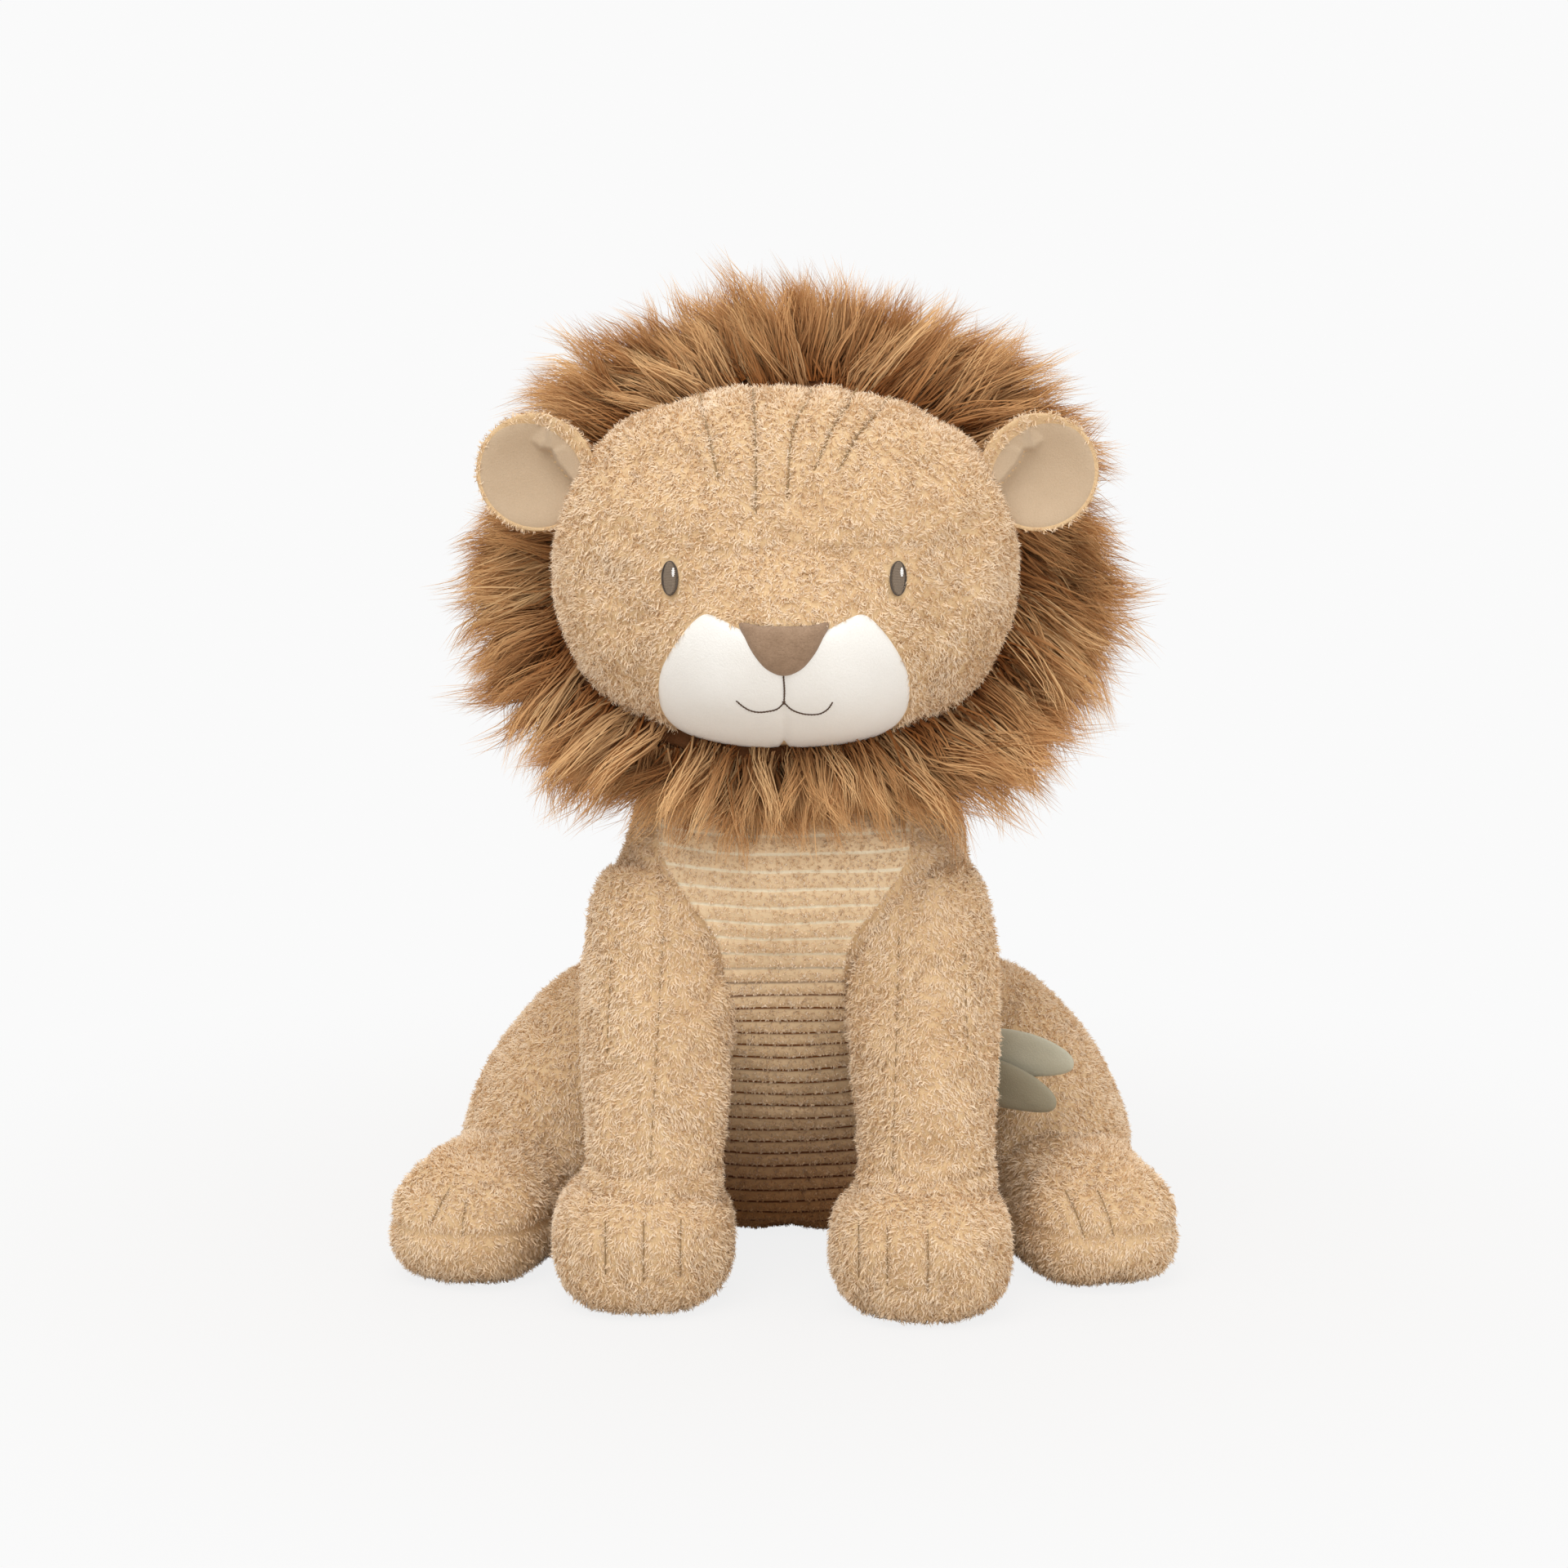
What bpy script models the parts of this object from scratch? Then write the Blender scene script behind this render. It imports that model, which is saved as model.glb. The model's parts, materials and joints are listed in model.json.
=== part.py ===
"""Sitting plush lion, about 60 cm tall, in metres with +Z up.

The lion sits on the floor plane z = 0 and looks along -Y. Its own left is at +X.
Each stuffed form is a sphere whose points are moved by a formula: a body or a limb
swells along a leaning centre line, a pad is a rounded block. Covers are cut along
their seams, and every moving piece turns in a round socket about its own pivot.
"""

import bisect
import math
from functools import partial

import bmesh
import bpy
from mathutils import Matrix, Vector

mm = 0.001

# Clearances
seam_gap = 0.3 * mm  # between two sewn pieces
joint_gap = 0.35 * mm  # between a ball of stuffing and its socket
sweep_steps = 2  # places in which a moving piece is trimmed by what it swings past
filling_gap = 0.8 * mm  # between a cover and its filling
floor_cut = 0.5 * mm  # how deep a stuffed form is cut flat where it stands
overrun = 20 * mm  # how far a cutter passes through what it cuts

# Facets round and along the forms
torso_facets = (24, 16)
head_facets = (28, 16)
inner_facets = (20, 11)
ball_facets = 16
neck_facets = 28
limb_facets = (20, 11)
ear_facets = (16, 8)
lining_facets = (12, 6)
eye_facets = 16
rod_facets = 10
tail_facets = (10, 16)
tuft_rings = 8
leaf_facets = (16, 6)
smooth_angle = math.radians(40)  # edges sharper than this stay sharp

# The whole stance is moved by this along Y, so that the origin is under its middle.
stance_y = -11 * mm

# Torso: sections from the seat up to the neck
torso_height = 305 * mm
torso_half_width = 122 * mm
torso_half_depth = 107 * mm
seat_behind = 93 * mm  # the seat's middle behind the middle of the stance
neck_ahead = 38 * mm
seat_y = stance_y + seat_behind
neck_y = stance_y - neck_ahead
cover_thickness = 3.0 * mm
torso_width_shares = (1.0, 1.0, 1.0, 0.975, 0.935, 0.895, 0.86, 0.825, 0.78)
torso_depth_shares = (0.82, 0.91, 0.965, 1.0, 1.0, 0.985, 0.925, 0.83, 0.74)
torso_lean_shares = (1.0, 0.97, 0.87, 0.70, 0.527, 0.336, 0.16, 0.046, 0.0)
torso_roundness = 5

# Ribbed belly panel
panel_bottom = 9 * mm
panel_top_drop = 21 * mm  # from the torso's top to the panel's
panel_top = torso_height - panel_top_drop
panel_half_width = 70 * mm
panel_thickness = 2.4 * mm
panel_opening_depth = 8 * mm  # the opening for it passes through the cover only
rib_pitch = 10.5 * mm
rib_height = 1.4 * mm
panel_columns = 5
panel_width_shares = (0.52, 0.57, 0.57, 0.55, 0.53, 0.50, 0.48, 0.46, 0.47, 0.60, 0.82, 0.98, 1.0)

# Neck: a ball of stuffing between the torso's and the head's opening
neck_radius = 50 * mm
neck_rise = 22 * mm  # centre of the neck above the torso's top
neck_centre = Vector((0, neck_y, torso_height + neck_rise))

# Head
head_ahead = 60 * mm
head_rise = 101 * mm  # centre of the head above the neck's
head_centre = Vector((0, stance_y - head_ahead, neck_centre.z + head_rise))
head_half_width = 134 * mm
head_half_depth = 95 * mm
head_half_height = 102 * mm
head_outline_power = 2.8
head_profile_power = 2.3
muzzle_reach = 32 * mm
muzzle_drop = 52 * mm  # below the head's centre
muzzle_height = head_centre.z - muzzle_drop
muzzle_half_width = 64 * mm
muzzle_half_height = 50 * mm
muzzle_power = 2.6

# Velour muzzle panel, seen from the front, from its top notch clockwise down to the chin
patch_half_width = 73 * mm
patch_half_height = 36 * mm
patch_drop = 5 * mm  # below the muzzle's middle
patch_centre_height = muzzle_height - patch_drop
patch_outline_shares = (
    (0.0, 0.72), (0.33, 0.80), (0.62, 1.05), (0.84, 0.66),
    (1.0, 0.10), (1.0, -0.36), (0.72, -0.86), (0.36, -1.0),
)
patch_raise = 0.5 * mm

# Nose, eyes
nose_half_width = 26 * mm
nose_half_height = 15 * mm
nose_rise = 20 * mm  # above the panel's middle
nose_centre_height = patch_centre_height + nose_rise
nose_thickness = 3.5 * mm
nose_outline_shares = ((0.0, 1.0), (0.80, 1.0), (1.0, 0.80), (0.92, 0.45), (0.38, -0.72), (0.0, -1.0))
eye_spread = 64 * mm
eye_drop = 3 * mm  # below the head's centre
eye_height = head_centre.z - eye_drop
eye_half_width = 5 * mm
eye_half_height = 10 * mm
eye_thickness = 1.2 * mm

# Mane of long pile: a rounded lens round the back of the head, drawn into locks
mane_behind = 68 * mm  # behind the head's centre
mane_rise = 2 * mm
mane_centre = head_centre + Vector((0, mane_behind, mane_rise))
mane_half_width = 198 * mm
mane_half_height = 163 * mm
mane_half_depth = 80 * mm
mane_locks = 26
mane_rings = 11
lock_length = 14 * mm
bib_reach = 112 * mm  # how far the lower edge is drawn forward, under the chin
bib_power = 1.6
mane_clearance = 17 * mm  # room for the head to nod and turn over the torso

# Ears
ear_spread = 124 * mm
ear_rise = 44 * mm  # above the head's centre
ear_base = head_centre + Vector((ear_spread, 0, ear_rise))
ear_lean = math.radians(16.5)
ear_length = 58 * mm
ear_half_width = 34 * mm
ear_half_thickness = 6 * mm
ear_cup = 9 * mm
ear_power = 2.4
ear_cup_share = 0.4
ear_middle_share = 0.40  # where the ear is widest, from its base to its tip
ear_base_width = 44 * mm
ear_fold = math.radians(25)
lining_share = 0.80
lining_margin_share = 0.01
lining_depth = 1.4 * mm  # how deep the lining lies in the ear's front
lining_raise = 0.8 * mm

# Forelegs and forepaws
shoulder_spread = 78 * mm
shoulder_ahead = 75 * mm
shoulder_drop = 100 * mm  # below the torso's top
shoulder = Vector((shoulder_spread, stance_y - shoulder_ahead, torso_height - shoulder_drop))
shoulder_radius = 45 * mm
ankle_spread = 80 * mm
ankle_ahead = 117 * mm
ankle_height = 52 * mm
ankle = Vector((ankle_spread, stance_y - ankle_ahead, ankle_height))
foreleg_half_width = 45 * mm
foreleg_half_depth = 42 * mm
foreleg_width_shares = (0.96, 0.96, 1.0, 1.0, 0.96, 0.90)
foreleg_roundness = 6
foreleg_top = 30 * mm  # the limb's own form ends this far above its pivot, inside the ball
foreleg_swing = math.radians(35)
forepaw_spread = 83 * mm
forepaw_ahead = 125 * mm
forepaw_centre = Vector((forepaw_spread, stance_y - forepaw_ahead, 0))
forepaw_half_width = 53 * mm
forepaw_half_depth = 62 * mm
forepaw_half_height = 39 * mm
paw_power = 2.5

# Hind legs: a thigh turning at the hip, a paw and its sole
hip_spread = 122 * mm
hip_behind = 95 * mm
hip_height = 78 * mm
hip = Vector((hip_spread, stance_y + hip_behind, hip_height))
hip_radius = 49 * mm
hind_leg_splay = math.radians(18)
thigh_spread = 152 * mm  # of its foot
thigh_behind = 56 * mm
thigh_top_behind = 62 * mm
thigh_height = 163 * mm
thigh_low = Vector((thigh_spread, stance_y + thigh_behind, 0))
thigh_high = Vector((hip_spread, stance_y + thigh_top_behind, thigh_height))
thigh_half_width = 62 * mm
thigh_half_depth = 84 * mm
thigh_width_shares = (0.86, 0.97, 1.0, 0.95, 0.86, 0.72, 0.6)
thigh_depth_shares = (0.86, 0.96, 1.0, 0.98, 0.92, 0.82, 0.7)
thigh_lean_shares = (1.0, 1.0, 0.93, 0.78, 0.55, 0.27, 0.0)
thigh_roundness = 3.2
hind_paw_spread = 186 * mm
hind_paw_ahead = 13 * mm
hind_paw_centre = Vector((hind_paw_spread, stance_y - hind_paw_ahead, 0))
hind_paw_half_width = 47 * mm
hind_paw_half_depth = 61 * mm
hind_paw_half_height = 37 * mm
hind_paw_turn = math.radians(25)
sole_seam_height = 33 * mm

# Tail: it leaves the back low down and lies round the rump on the lion's right
tail_radius = 11 * mm
tail_root_radius = 14 * mm
tail_root_behind = 182 * mm
tail_root_height = 44 * mm
tail_root = Vector((0, stance_y + tail_root_behind, tail_root_height))
tail_length = 150 * mm
tail_bow = 24 * mm  # how far the tail stands off behind its root
tail_return = 40 * mm  # how far its end comes forward again
tail_lift = 7 * mm
tail_bow_power = 6
tail_turn_power = 1.5
tail_roundness = 14  # how blunt its two ends are
tail_swing = math.radians(35)
path_step_share = 0.001  # step along a path, of its whole, to find its direction
tuft_length = 70 * mm
tuft_radius = 19 * mm
tuft_taper_share = 0.35
tuft_locks = 8
tuft_lock_depth = 4 * mm
tuft_overlap_share = 0.40  # of the tuft's length, from the tail's end to its middle

# Two leaves sewn into the seam of the lion's left flank
leaf_seam_ahead = 24 * mm
leaf_seam_y = stance_y - leaf_seam_ahead
leaf_seam_height = 138 * mm
leaf_length = 82 * mm
leaf_half_width = 15 * mm
leaf_half_thickness = 2.8 * mm
leaf_outline_power = 0.85
leaf_sweep = math.radians(20)  # forward of straight out to the side
leaf_droop = math.radians(12)
leaf_step = 4.5 * mm  # the upper leaf lies this far behind the lower one
leaf_drop = 22 * mm  # the lower leaf lies this far below the upper one
leaf_root_depth = 5 * mm  # how far a leaf's pointed root would reach into the flank
leaf_flap_forward = math.radians(20)
leaf_flap_back = math.radians(5)

for old in list(bpy.data.objects):
    bpy.data.objects.remove(old)

parts = bpy.data.collections.new("plush_lion")
cutters = bpy.data.collections.new("cutters")
for made in (parts, cutters):
    bpy.context.scene.collection.children.link(made)


def fabric(name, colour, roughness=0.95):
    """A dull cloth of one colour."""
    material = bpy.data.materials.new(name)
    material.use_nodes = True
    shader = material.node_tree.nodes["Principled BSDF"]
    shader.inputs["Base Color"].default_value = (*colour, 1)
    shader.inputs["Roughness"].default_value = roughness
    shader.inputs["Metallic"].default_value = 0
    return material


terry = fabric("terry", (0.72, 0.49, 0.26))
ribbed = fabric("ribbed_velour", (0.74, 0.52, 0.30))
long_pile = fabric("long_pile", (0.45, 0.23, 0.10))
cream = fabric("cream_velour", (0.88, 0.84, 0.78))
taupe = fabric("taupe_velour", (0.29, 0.20, 0.14))
beige = fabric("beige_velour", (0.66, 0.52, 0.38))
sage = fabric("sage_velour", (0.46, 0.44, 0.34))
sage_dark = fabric("dark_sage_velour", (0.35, 0.32, 0.24))
thread = fabric("eye_thread", (0.16, 0.12, 0.09), roughness=0.6)
fibre = fabric("filling_fibre", (0.85, 0.85, 0.84))


def spline(shares, where):
    """A smooth curve through equally spaced shares, read at a place from 0 to 1."""
    steps = len(shares) - 1
    span = min(max(where, 0.0), 1.0) * steps
    first = min(int(span), steps - 1)
    t = span - first
    before, start, end, after = (shares[min(max(first + k, 0), steps)] for k in (-1, 0, 1, 2))
    rise = (end - before) / 2
    fall = (after - start) / 2
    placed = (2 * t**3 - 3 * t**2 + 1) * start + (3 * t**2 - 2 * t**3) * end
    return placed + (t**3 - 2 * t**2 + t) * rise + (t**3 - t**2) * fall


def dome(where, roundness):
    """How full a form is at a height share: 0 at both ends, 1 in the middle."""
    return max(0.0, 1 - abs(2 * where - 1) ** roundness) ** (1 / roundness)


def form(place, segments, rings, pole_along_y=False):
    """A closed soft form: a unit sphere with each point moved by place(x, y, z)."""
    shape = bmesh.new()
    bmesh.ops.create_uvsphere(shape, u_segments=segments, v_segments=rings, radius=1)
    if pole_along_y:
        bmesh.ops.rotate(shape, verts=shape.verts, matrix=Matrix.Rotation(math.pi / 2, 3, "X"))
    # Split while it is still a sphere, so that forms inside one another have the same facets.
    bmesh.ops.triangulate(shape, faces=shape.faces, quad_method="FIXED")
    for vertex in shape.verts:
        vertex.co = place(*vertex.co)
    if shape.calc_volume(signed=True) < 0:
        bmesh.ops.reverse_faces(shape, faces=shape.faces)
    return shape


def swell(low, high, half_width, half_depth, width_shares, depth_shares, lean_shares, roundness, inset=0.0):
    """The place function of a body or limb whose level sections follow a leaning centre line."""

    def place(x, y, z):
        where = (1 + z) / 2
        lean = spline(lean_shares, where)
        centre = high.lerp(low, lean)
        full = dome(where, roundness)
        around = math.hypot(x, y) or 1
        return Vector((
            centre.x + (half_width - inset) * spline(width_shares, where) * full * x / around,
            centre.y + (half_depth - inset) * spline(depth_shares, where) * full * y / around,
            low.z + inset + (high.z - low.z - 2 * inset) * where,
        ))

    return place


def pad(centre, halves, power, turn=0.0, outset=0.0):
    """The place function of a rounded block, turned about Z."""
    turning = Matrix.Rotation(turn, 3, "Z")
    grown = [half + outset for half in halves]

    def place(x, y, z):
        fit = (abs(x) ** power + abs(y) ** power + abs(z) ** power) ** (-1 / power)
        return centre + turning @ Vector((grown[0] * x * fit, grown[1] * y * fit, grown[2] * z * fit))

    return place


def mirrored(point, side):
    """The point for the lion's left (1) or right (-1) side."""
    return Vector((side * point.x, point.y, point.z))


def piece(name, shape, material, pivot=None, parent=None, smooth=True):
    """Makes a named part from a shape in world space, with its origin on its pivot or on its parent's."""
    here = Vector(pivot) if pivot else (parent.matrix_world.translation.copy() if parent else Vector())
    bmesh.ops.translate(shape, verts=shape.verts, vec=-here)
    mesh = bpy.data.meshes.new(name)
    shape.to_mesh(mesh)
    shape.free()
    made = bpy.data.objects.new(name, mesh)
    parts.objects.link(made)
    made.location = here - (parent.matrix_world.translation if parent else Vector())
    made.parent = parent
    mesh.materials.append(material)
    if smooth:
        mesh.shade_smooth()
        mesh.set_sharp_from_angle(angle=smooth_angle)
    bpy.context.view_layer.update()
    return made


def cutter(name, shape):
    """A hidden shape that only cuts or joins others."""
    mesh = bpy.data.meshes.new(name)
    shape.to_mesh(mesh)
    shape.free()
    made = bpy.data.objects.new(name, mesh)
    cutters.objects.link(made)
    made.hide_render = True
    made.display_type = "WIRE"
    return made


def combine(target, tool, operation="DIFFERENCE"):
    """Adds a Boolean of the target with a tool."""
    modifier = target.modifiers.new(f"{operation.lower()} {tool.name}", "BOOLEAN")
    modifier.operation = operation
    modifier.object = tool
    modifier.solver = "EXACT"


def ball(centre, radius, segments=ball_facets):
    """A round ball of stuffing."""
    return form(lambda x, y, z: centre + radius * Vector((x, y, z)), segments, segments // 2)


def socket(name, centre, radius, segments=ball_facets):
    """A cutter for the socket of a ball, wide enough for its corners to turn inside its flats."""
    flat = math.cos(math.pi / segments) ** 2
    return cutter(name, ball(centre, (radius + joint_gap) / flat, segments))


def trim_sweep(target, name, shape_of, pivot, axis, swing):
    """Trims a moving piece by a fixed form in each place that the form takes as the piece swings."""
    for step in range(sweep_steps + 1):
        turn = Matrix.Rotation(-swing * step / sweep_steps, 4, axis)
        shape = shape_of()
        placed = Matrix.Translation(pivot) @ turn @ Matrix.Translation(-pivot)
        bmesh.ops.transform(shape, verts=shape.verts, matrix=placed)
        combine(target, cutter(f"{name}_{step}", shape))


def prism(name, outline, near, far):
    """A cutter that runs along Y behind an outline of (x, z) points."""
    shape = bmesh.new()
    corners = [shape.verts.new((x, near, z)) for x, z in outline]
    face = shape.faces.new(corners)
    swept = bmesh.ops.extrude_face_region(shape, geom=[face])
    moved = [item for item in swept["geom"] if isinstance(item, bmesh.types.BMVert)]
    bmesh.ops.translate(shape, verts=moved, vec=(0, far - near, 0))
    bmesh.ops.recalc_face_normals(shape, faces=shape.faces)
    return cutter(name, shape)


def box(name, low, high):
    """A cutter between two corners."""
    shape = bmesh.new()
    size = Matrix.Diagonal((*(high - low), 1))
    bmesh.ops.create_cube(shape, size=1, matrix=Matrix.Translation((low + high) / 2) @ size)
    return cutter(name, shape)


def both_sides(half_shares):
    """A whole outline from the shares of its right half, which start and end near the middle."""
    left = [(-x, z) for x, z in reversed(half_shares) if x]
    return [*half_shares, *left]


# Torso, its filling and the ribbed belly panel


def torso_form(inset=0.0, facets=torso_facets):
    """The torso's outside, or a form a little inside or outside it."""
    low = Vector((0, seat_y, -floor_cut))
    high = Vector((0, neck_y, torso_height))
    place = swell(low, high, torso_half_width, torso_half_depth, torso_width_shares,
                  torso_depth_shares, torso_lean_shares, torso_roundness, inset)
    return form(place, *facets)


def torso_section(height, inset=0.0):
    """The middle, half width and half depth of the torso's level section at a height."""
    where = (height + floor_cut) / (torso_height + floor_cut)
    full = dome(where, torso_roundness)
    half_width = (torso_half_width - inset) * spline(torso_width_shares, where) * full
    half_depth = (torso_half_depth - inset) * spline(torso_depth_shares, where) * full
    return neck_y + (seat_y - neck_y) * spline(torso_lean_shares, where), half_width, half_depth


def torso_front(across, height, inset=0.0):
    """The point on the front of the torso at a distance from the middle and a height."""
    middle, half_width, half_depth = torso_section(height, inset)
    full = math.sqrt(max(0.0, 1 - (across / half_width) ** 2))
    return Vector((across, middle - half_depth * full, height))


def torso_side(along, height):
    """The point on the torso's left side at a place along Y and a height."""
    middle, half_width, half_depth = torso_section(height)
    full = math.sqrt(max(0.0, 1 - ((along - middle) / half_depth) ** 2))
    return Vector((half_width * full, along, height))


def panel_heights(rows):
    """Heights at equal steps along the torso's front, so that ribs keep their width where it slopes."""
    samples = 200
    levels = [panel_bottom + (panel_top - panel_bottom) * k / samples for k in range(samples + 1)]
    lengths = [0.0]
    for low, high in zip(levels, levels[1:]):
        lengths.append(lengths[-1] + (torso_front(0, high) - torso_front(0, low)).length)
    heights = [levels[bisect.bisect_left(lengths, lengths[-1] * row / rows)] for row in range(rows + 1)]
    return heights, lengths[-1]


def panel_form(rows, margin, inner, outer, ribs):
    """A sheet that follows the torso's front between two insets, with every second row raised as a rib."""
    heights, _ = panel_heights(rows)
    shape = bmesh.new()
    layers = []
    for inset in (inner, -outer):
        layer = []
        for row, height in enumerate(heights):
            share = (height - panel_bottom) / (panel_top - panel_bottom)
            reach = panel_half_width * spline(panel_width_shares, share) + margin
            end = margin if row == rows else -margin if row == 0 else 0
            crest = rib_height if ribs and inset < 0 and row % 2 else 0
            line = []
            for column in range(panel_columns + 1):
                across = reach * (2 * column / panel_columns - 1)
                line.append(shape.verts.new(torso_front(across, height + end, inset - crest)))
            layer.append(line)
        layers.append(layer)
    back, front = layers
    for layer, sense in ((front, 1), (back, -1)):
        for low, high in zip(layer, layer[1:]):
            for k in range(panel_columns):
                shape.faces.new((low[k], low[k + 1], high[k + 1], high[k])[::sense])
    for near, away in zip(zip(front, front[1:]), zip(back, back[1:])):
        for k, sense in ((0, -1), (panel_columns, 1)):
            shape.faces.new((near[0][k], away[0][k], away[1][k], near[1][k])[::sense])
    for row, sense in ((0, 1), (rows, -1)):
        for k in range(panel_columns):
            shape.faces.new((front[row][k], back[row][k], back[row][k + 1], front[row][k + 1])[::sense])
    bmesh.ops.recalc_face_normals(shape, faces=shape.faces)
    return shape


neck_socket = socket("neck_socket", neck_centre, neck_radius, neck_facets)
tail_socket = socket("tail_socket", tail_root, tail_root_radius)
limb_sockets = [
    socket(f"{name}_socket_{side}", mirrored(centre, side), radius)
    for side in (1, -1)
    for name, centre, radius in (("shoulder", shoulder, shoulder_radius), ("hip", hip, hip_radius))
]
# As wide and long as the torso is high, a block reaches past everything that it cuts.
block_low = Vector((-torso_height, -torso_height, -overrun))
block_high = Vector((torso_height, torso_height, torso_height))
floor = box("floor", block_low, Vector((*block_high.xy, 0)))

panel_rows = 2 * round(panel_heights(1)[1] / rib_pitch)
opening_form = panel_form(panel_rows // 2, 2 * seam_gap, panel_opening_depth, overrun, ribs=False)
panel_opening = cutter("panel_opening", opening_form)
torso_cover = piece("torso_cover", torso_form(), terry)
combine(torso_cover, cutter("torso_hollow", torso_form(cover_thickness, inner_facets)))
combine(torso_cover, panel_opening)
filling_form = torso_form(cover_thickness + filling_gap, inner_facets)
torso_filling = piece("torso_filling", filling_form, fibre, parent=torso_cover)
for torso_piece in (torso_cover, torso_filling):
    for hollow in (neck_socket, tail_socket, *limb_sockets):
        combine(torso_piece, hollow)
combine(torso_cover, floor)
ribbed_form = panel_form(panel_rows, 0.0, panel_thickness, 0.0, ribs=True)
belly_panel = piece("belly_panel", ribbed_form, ribbed, parent=torso_cover, smooth=False)

# Neck and head


def head_form(outset=0.0, facets=head_facets):
    """The head's outside with its muzzle, or a form a little inside or outside it."""
    halves = [half + outset for half in (head_half_width, head_half_depth, head_half_height)]

    def place(x, y, z):
        outline = abs(x) ** head_outline_power + abs(z) ** head_outline_power
        profile = outline ** (head_profile_power / head_outline_power) + abs(y) ** head_profile_power
        fit = profile ** (-1 / head_profile_power)
        point = head_centre + Vector((halves[0] * x * fit, halves[1] * y * fit, halves[2] * z * fit))
        if y < 0:
            across = abs(point.x / muzzle_half_width) ** muzzle_power
            above = abs((point.z - muzzle_height) / muzzle_half_height) ** muzzle_power
            point.y -= muzzle_reach * math.exp(-across - above) * min(1.0, -2 * y)
        return point

    return form(place, *facets, pole_along_y=True)


def patch_outline(margin=0.0):
    """The muzzle panel's outline in real sizes, seen from the front."""
    return [
        (x * (patch_half_width + margin), patch_centre_height + z * (patch_half_height + margin))
        for x, z in both_sides(patch_outline_shares)
    ]


def face_layer(name, material, outline_cutter, inner, outer, parent):
    """A sewn-on layer of the face: what lies between two outsets of the head, inside an outline."""
    made = piece(name, head_form(outer), material, parent=parent)
    combine(made, outline_cutter, "INTERSECT")
    combine(made, cutter(f"{name}_back", head_form(inner)))
    return made


neck_form = ball(neck_centre, neck_radius, neck_facets)
neck = piece("neck", neck_form, fibre, pivot=neck_centre, parent=torso_cover)
head_cover = piece("head_cover", head_form(), terry, pivot=neck_centre, parent=neck)
head_filling = piece("head_filling", head_form(-cover_thickness - filling_gap), fibre, parent=head_cover)
face_front = head_centre.y - head_half_depth - muzzle_reach - overrun
face_back = head_centre.y
combine(head_cover, cutter("head_hollow", head_form(-cover_thickness)))
combine(head_cover, prism("muzzle_opening", patch_outline(), face_front, face_back))
patch_shape = prism("muzzle_outline", patch_outline(-seam_gap), face_front, face_back)
face_layer("muzzle_panel", cream, patch_shape, seam_gap - cover_thickness, patch_raise, head_cover)
nose_outline = [
    (x * nose_half_width, nose_centre_height + z * nose_half_height)
    for x, z in both_sides(nose_outline_shares)
]
nose_shape = prism("nose_outline", nose_outline, face_front, face_back)
face_layer("nose", taupe, nose_shape, patch_raise + seam_gap, patch_raise + nose_thickness, head_cover)
for side, side_name in ((1, "left"), (-1, "right")):
    oval = [
        (side * eye_spread + eye_half_width * math.cos(turn), eye_height + eye_half_height * math.sin(turn))
        for turn in (math.tau * k / eye_facets for k in range(eye_facets))
    ]
    eye_shape = prism(f"eye_outline_{side_name}", oval, face_front, face_back)
    face_layer(f"eye_{side_name}", thread, eye_shape, seam_gap, seam_gap + eye_thickness, head_cover)
for head_piece in (head_cover, head_filling):
    combine(head_piece, neck_socket)

# Mane


def mane_place(x, y, z):
    """A lens round the head with its rim drawn into locks and its lower edge brought forward."""
    around = math.atan2(z, x)
    rim = math.hypot(x, z)
    lock = 2 * abs((around * mane_locks / math.tau) % 1 - 0.5)
    grown = 1 - lock_length / mane_half_width * lock * rim**3
    halves = (mane_half_width * grown, mane_half_depth, mane_half_height * grown)
    point = mane_centre + Vector((halves[0] * x, halves[1] * y, halves[2] * z))
    drop = max(0.0, mane_centre.z - point.z) / mane_half_height
    point.y -= bib_reach * drop**bib_power
    return point


mane_form = form(mane_place, 2 * mane_locks, mane_rings, pole_along_y=True)
mane = piece("mane", mane_form, long_pile, parent=head_cover)
combine(mane, cutter("mane_seat", head_form(seam_gap)))
combine(mane, cutter("mane_room_torso", torso_form(-mane_clearance, inner_facets)))
combine(mane, cutter("mane_room_neck", ball(neck_centre, neck_radius + mane_clearance)))

# Ears


def ear_axes(side):
    """The ear's base, the way to its tip and the way up its base."""
    base = mirrored(ear_base, side)
    along = mirrored(Vector((math.cos(ear_lean), 0, math.sin(ear_lean))), side)
    upward = mirrored(Vector((-math.sin(ear_lean), 0, math.cos(ear_lean))), side)
    return base, along, upward


def ear_form(side, share=1.0, layer=None, facets=ear_facets):
    """The ear, or a layer on its front: how far its two faces stand before the ear's own front."""
    base, along, upward = ear_axes(side)

    def place(x, y, z):
        rim = math.hypot(x, z)
        thick = ear_half_thickness * max(0.0, 1 - (rim * share) ** ear_power) ** (1 / ear_power)
        depth = ear_cup * (ear_cup_share - (rim * share) ** 2)
        if layer is None:
            depth += thick if y > 0 else -thick
        else:
            depth -= thick + layer[0 if y > 0 else 1] * max(0.0, 1 - rim**4)
        length = ear_length * (ear_middle_share + (1 - ear_middle_share) * x * share)
        return base + along * length + upward * (ear_half_width * z * share) + Vector((0, depth, 0))

    return form(place, *facets, pole_along_y=True)


def rod(name, middle, axis, radius, length):
    """A cutter or tool: a plain rod about an axis."""
    shape = bmesh.new()
    placed = Matrix.Translation(middle) @ axis.to_track_quat("Z", "Y").to_matrix().to_4x4()
    ends = {"radius1": radius, "radius2": radius}
    bmesh.ops.create_cone(shape, cap_ends=True, segments=rod_facets, depth=length, matrix=placed, **ends)
    return cutter(name, shape)


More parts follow.
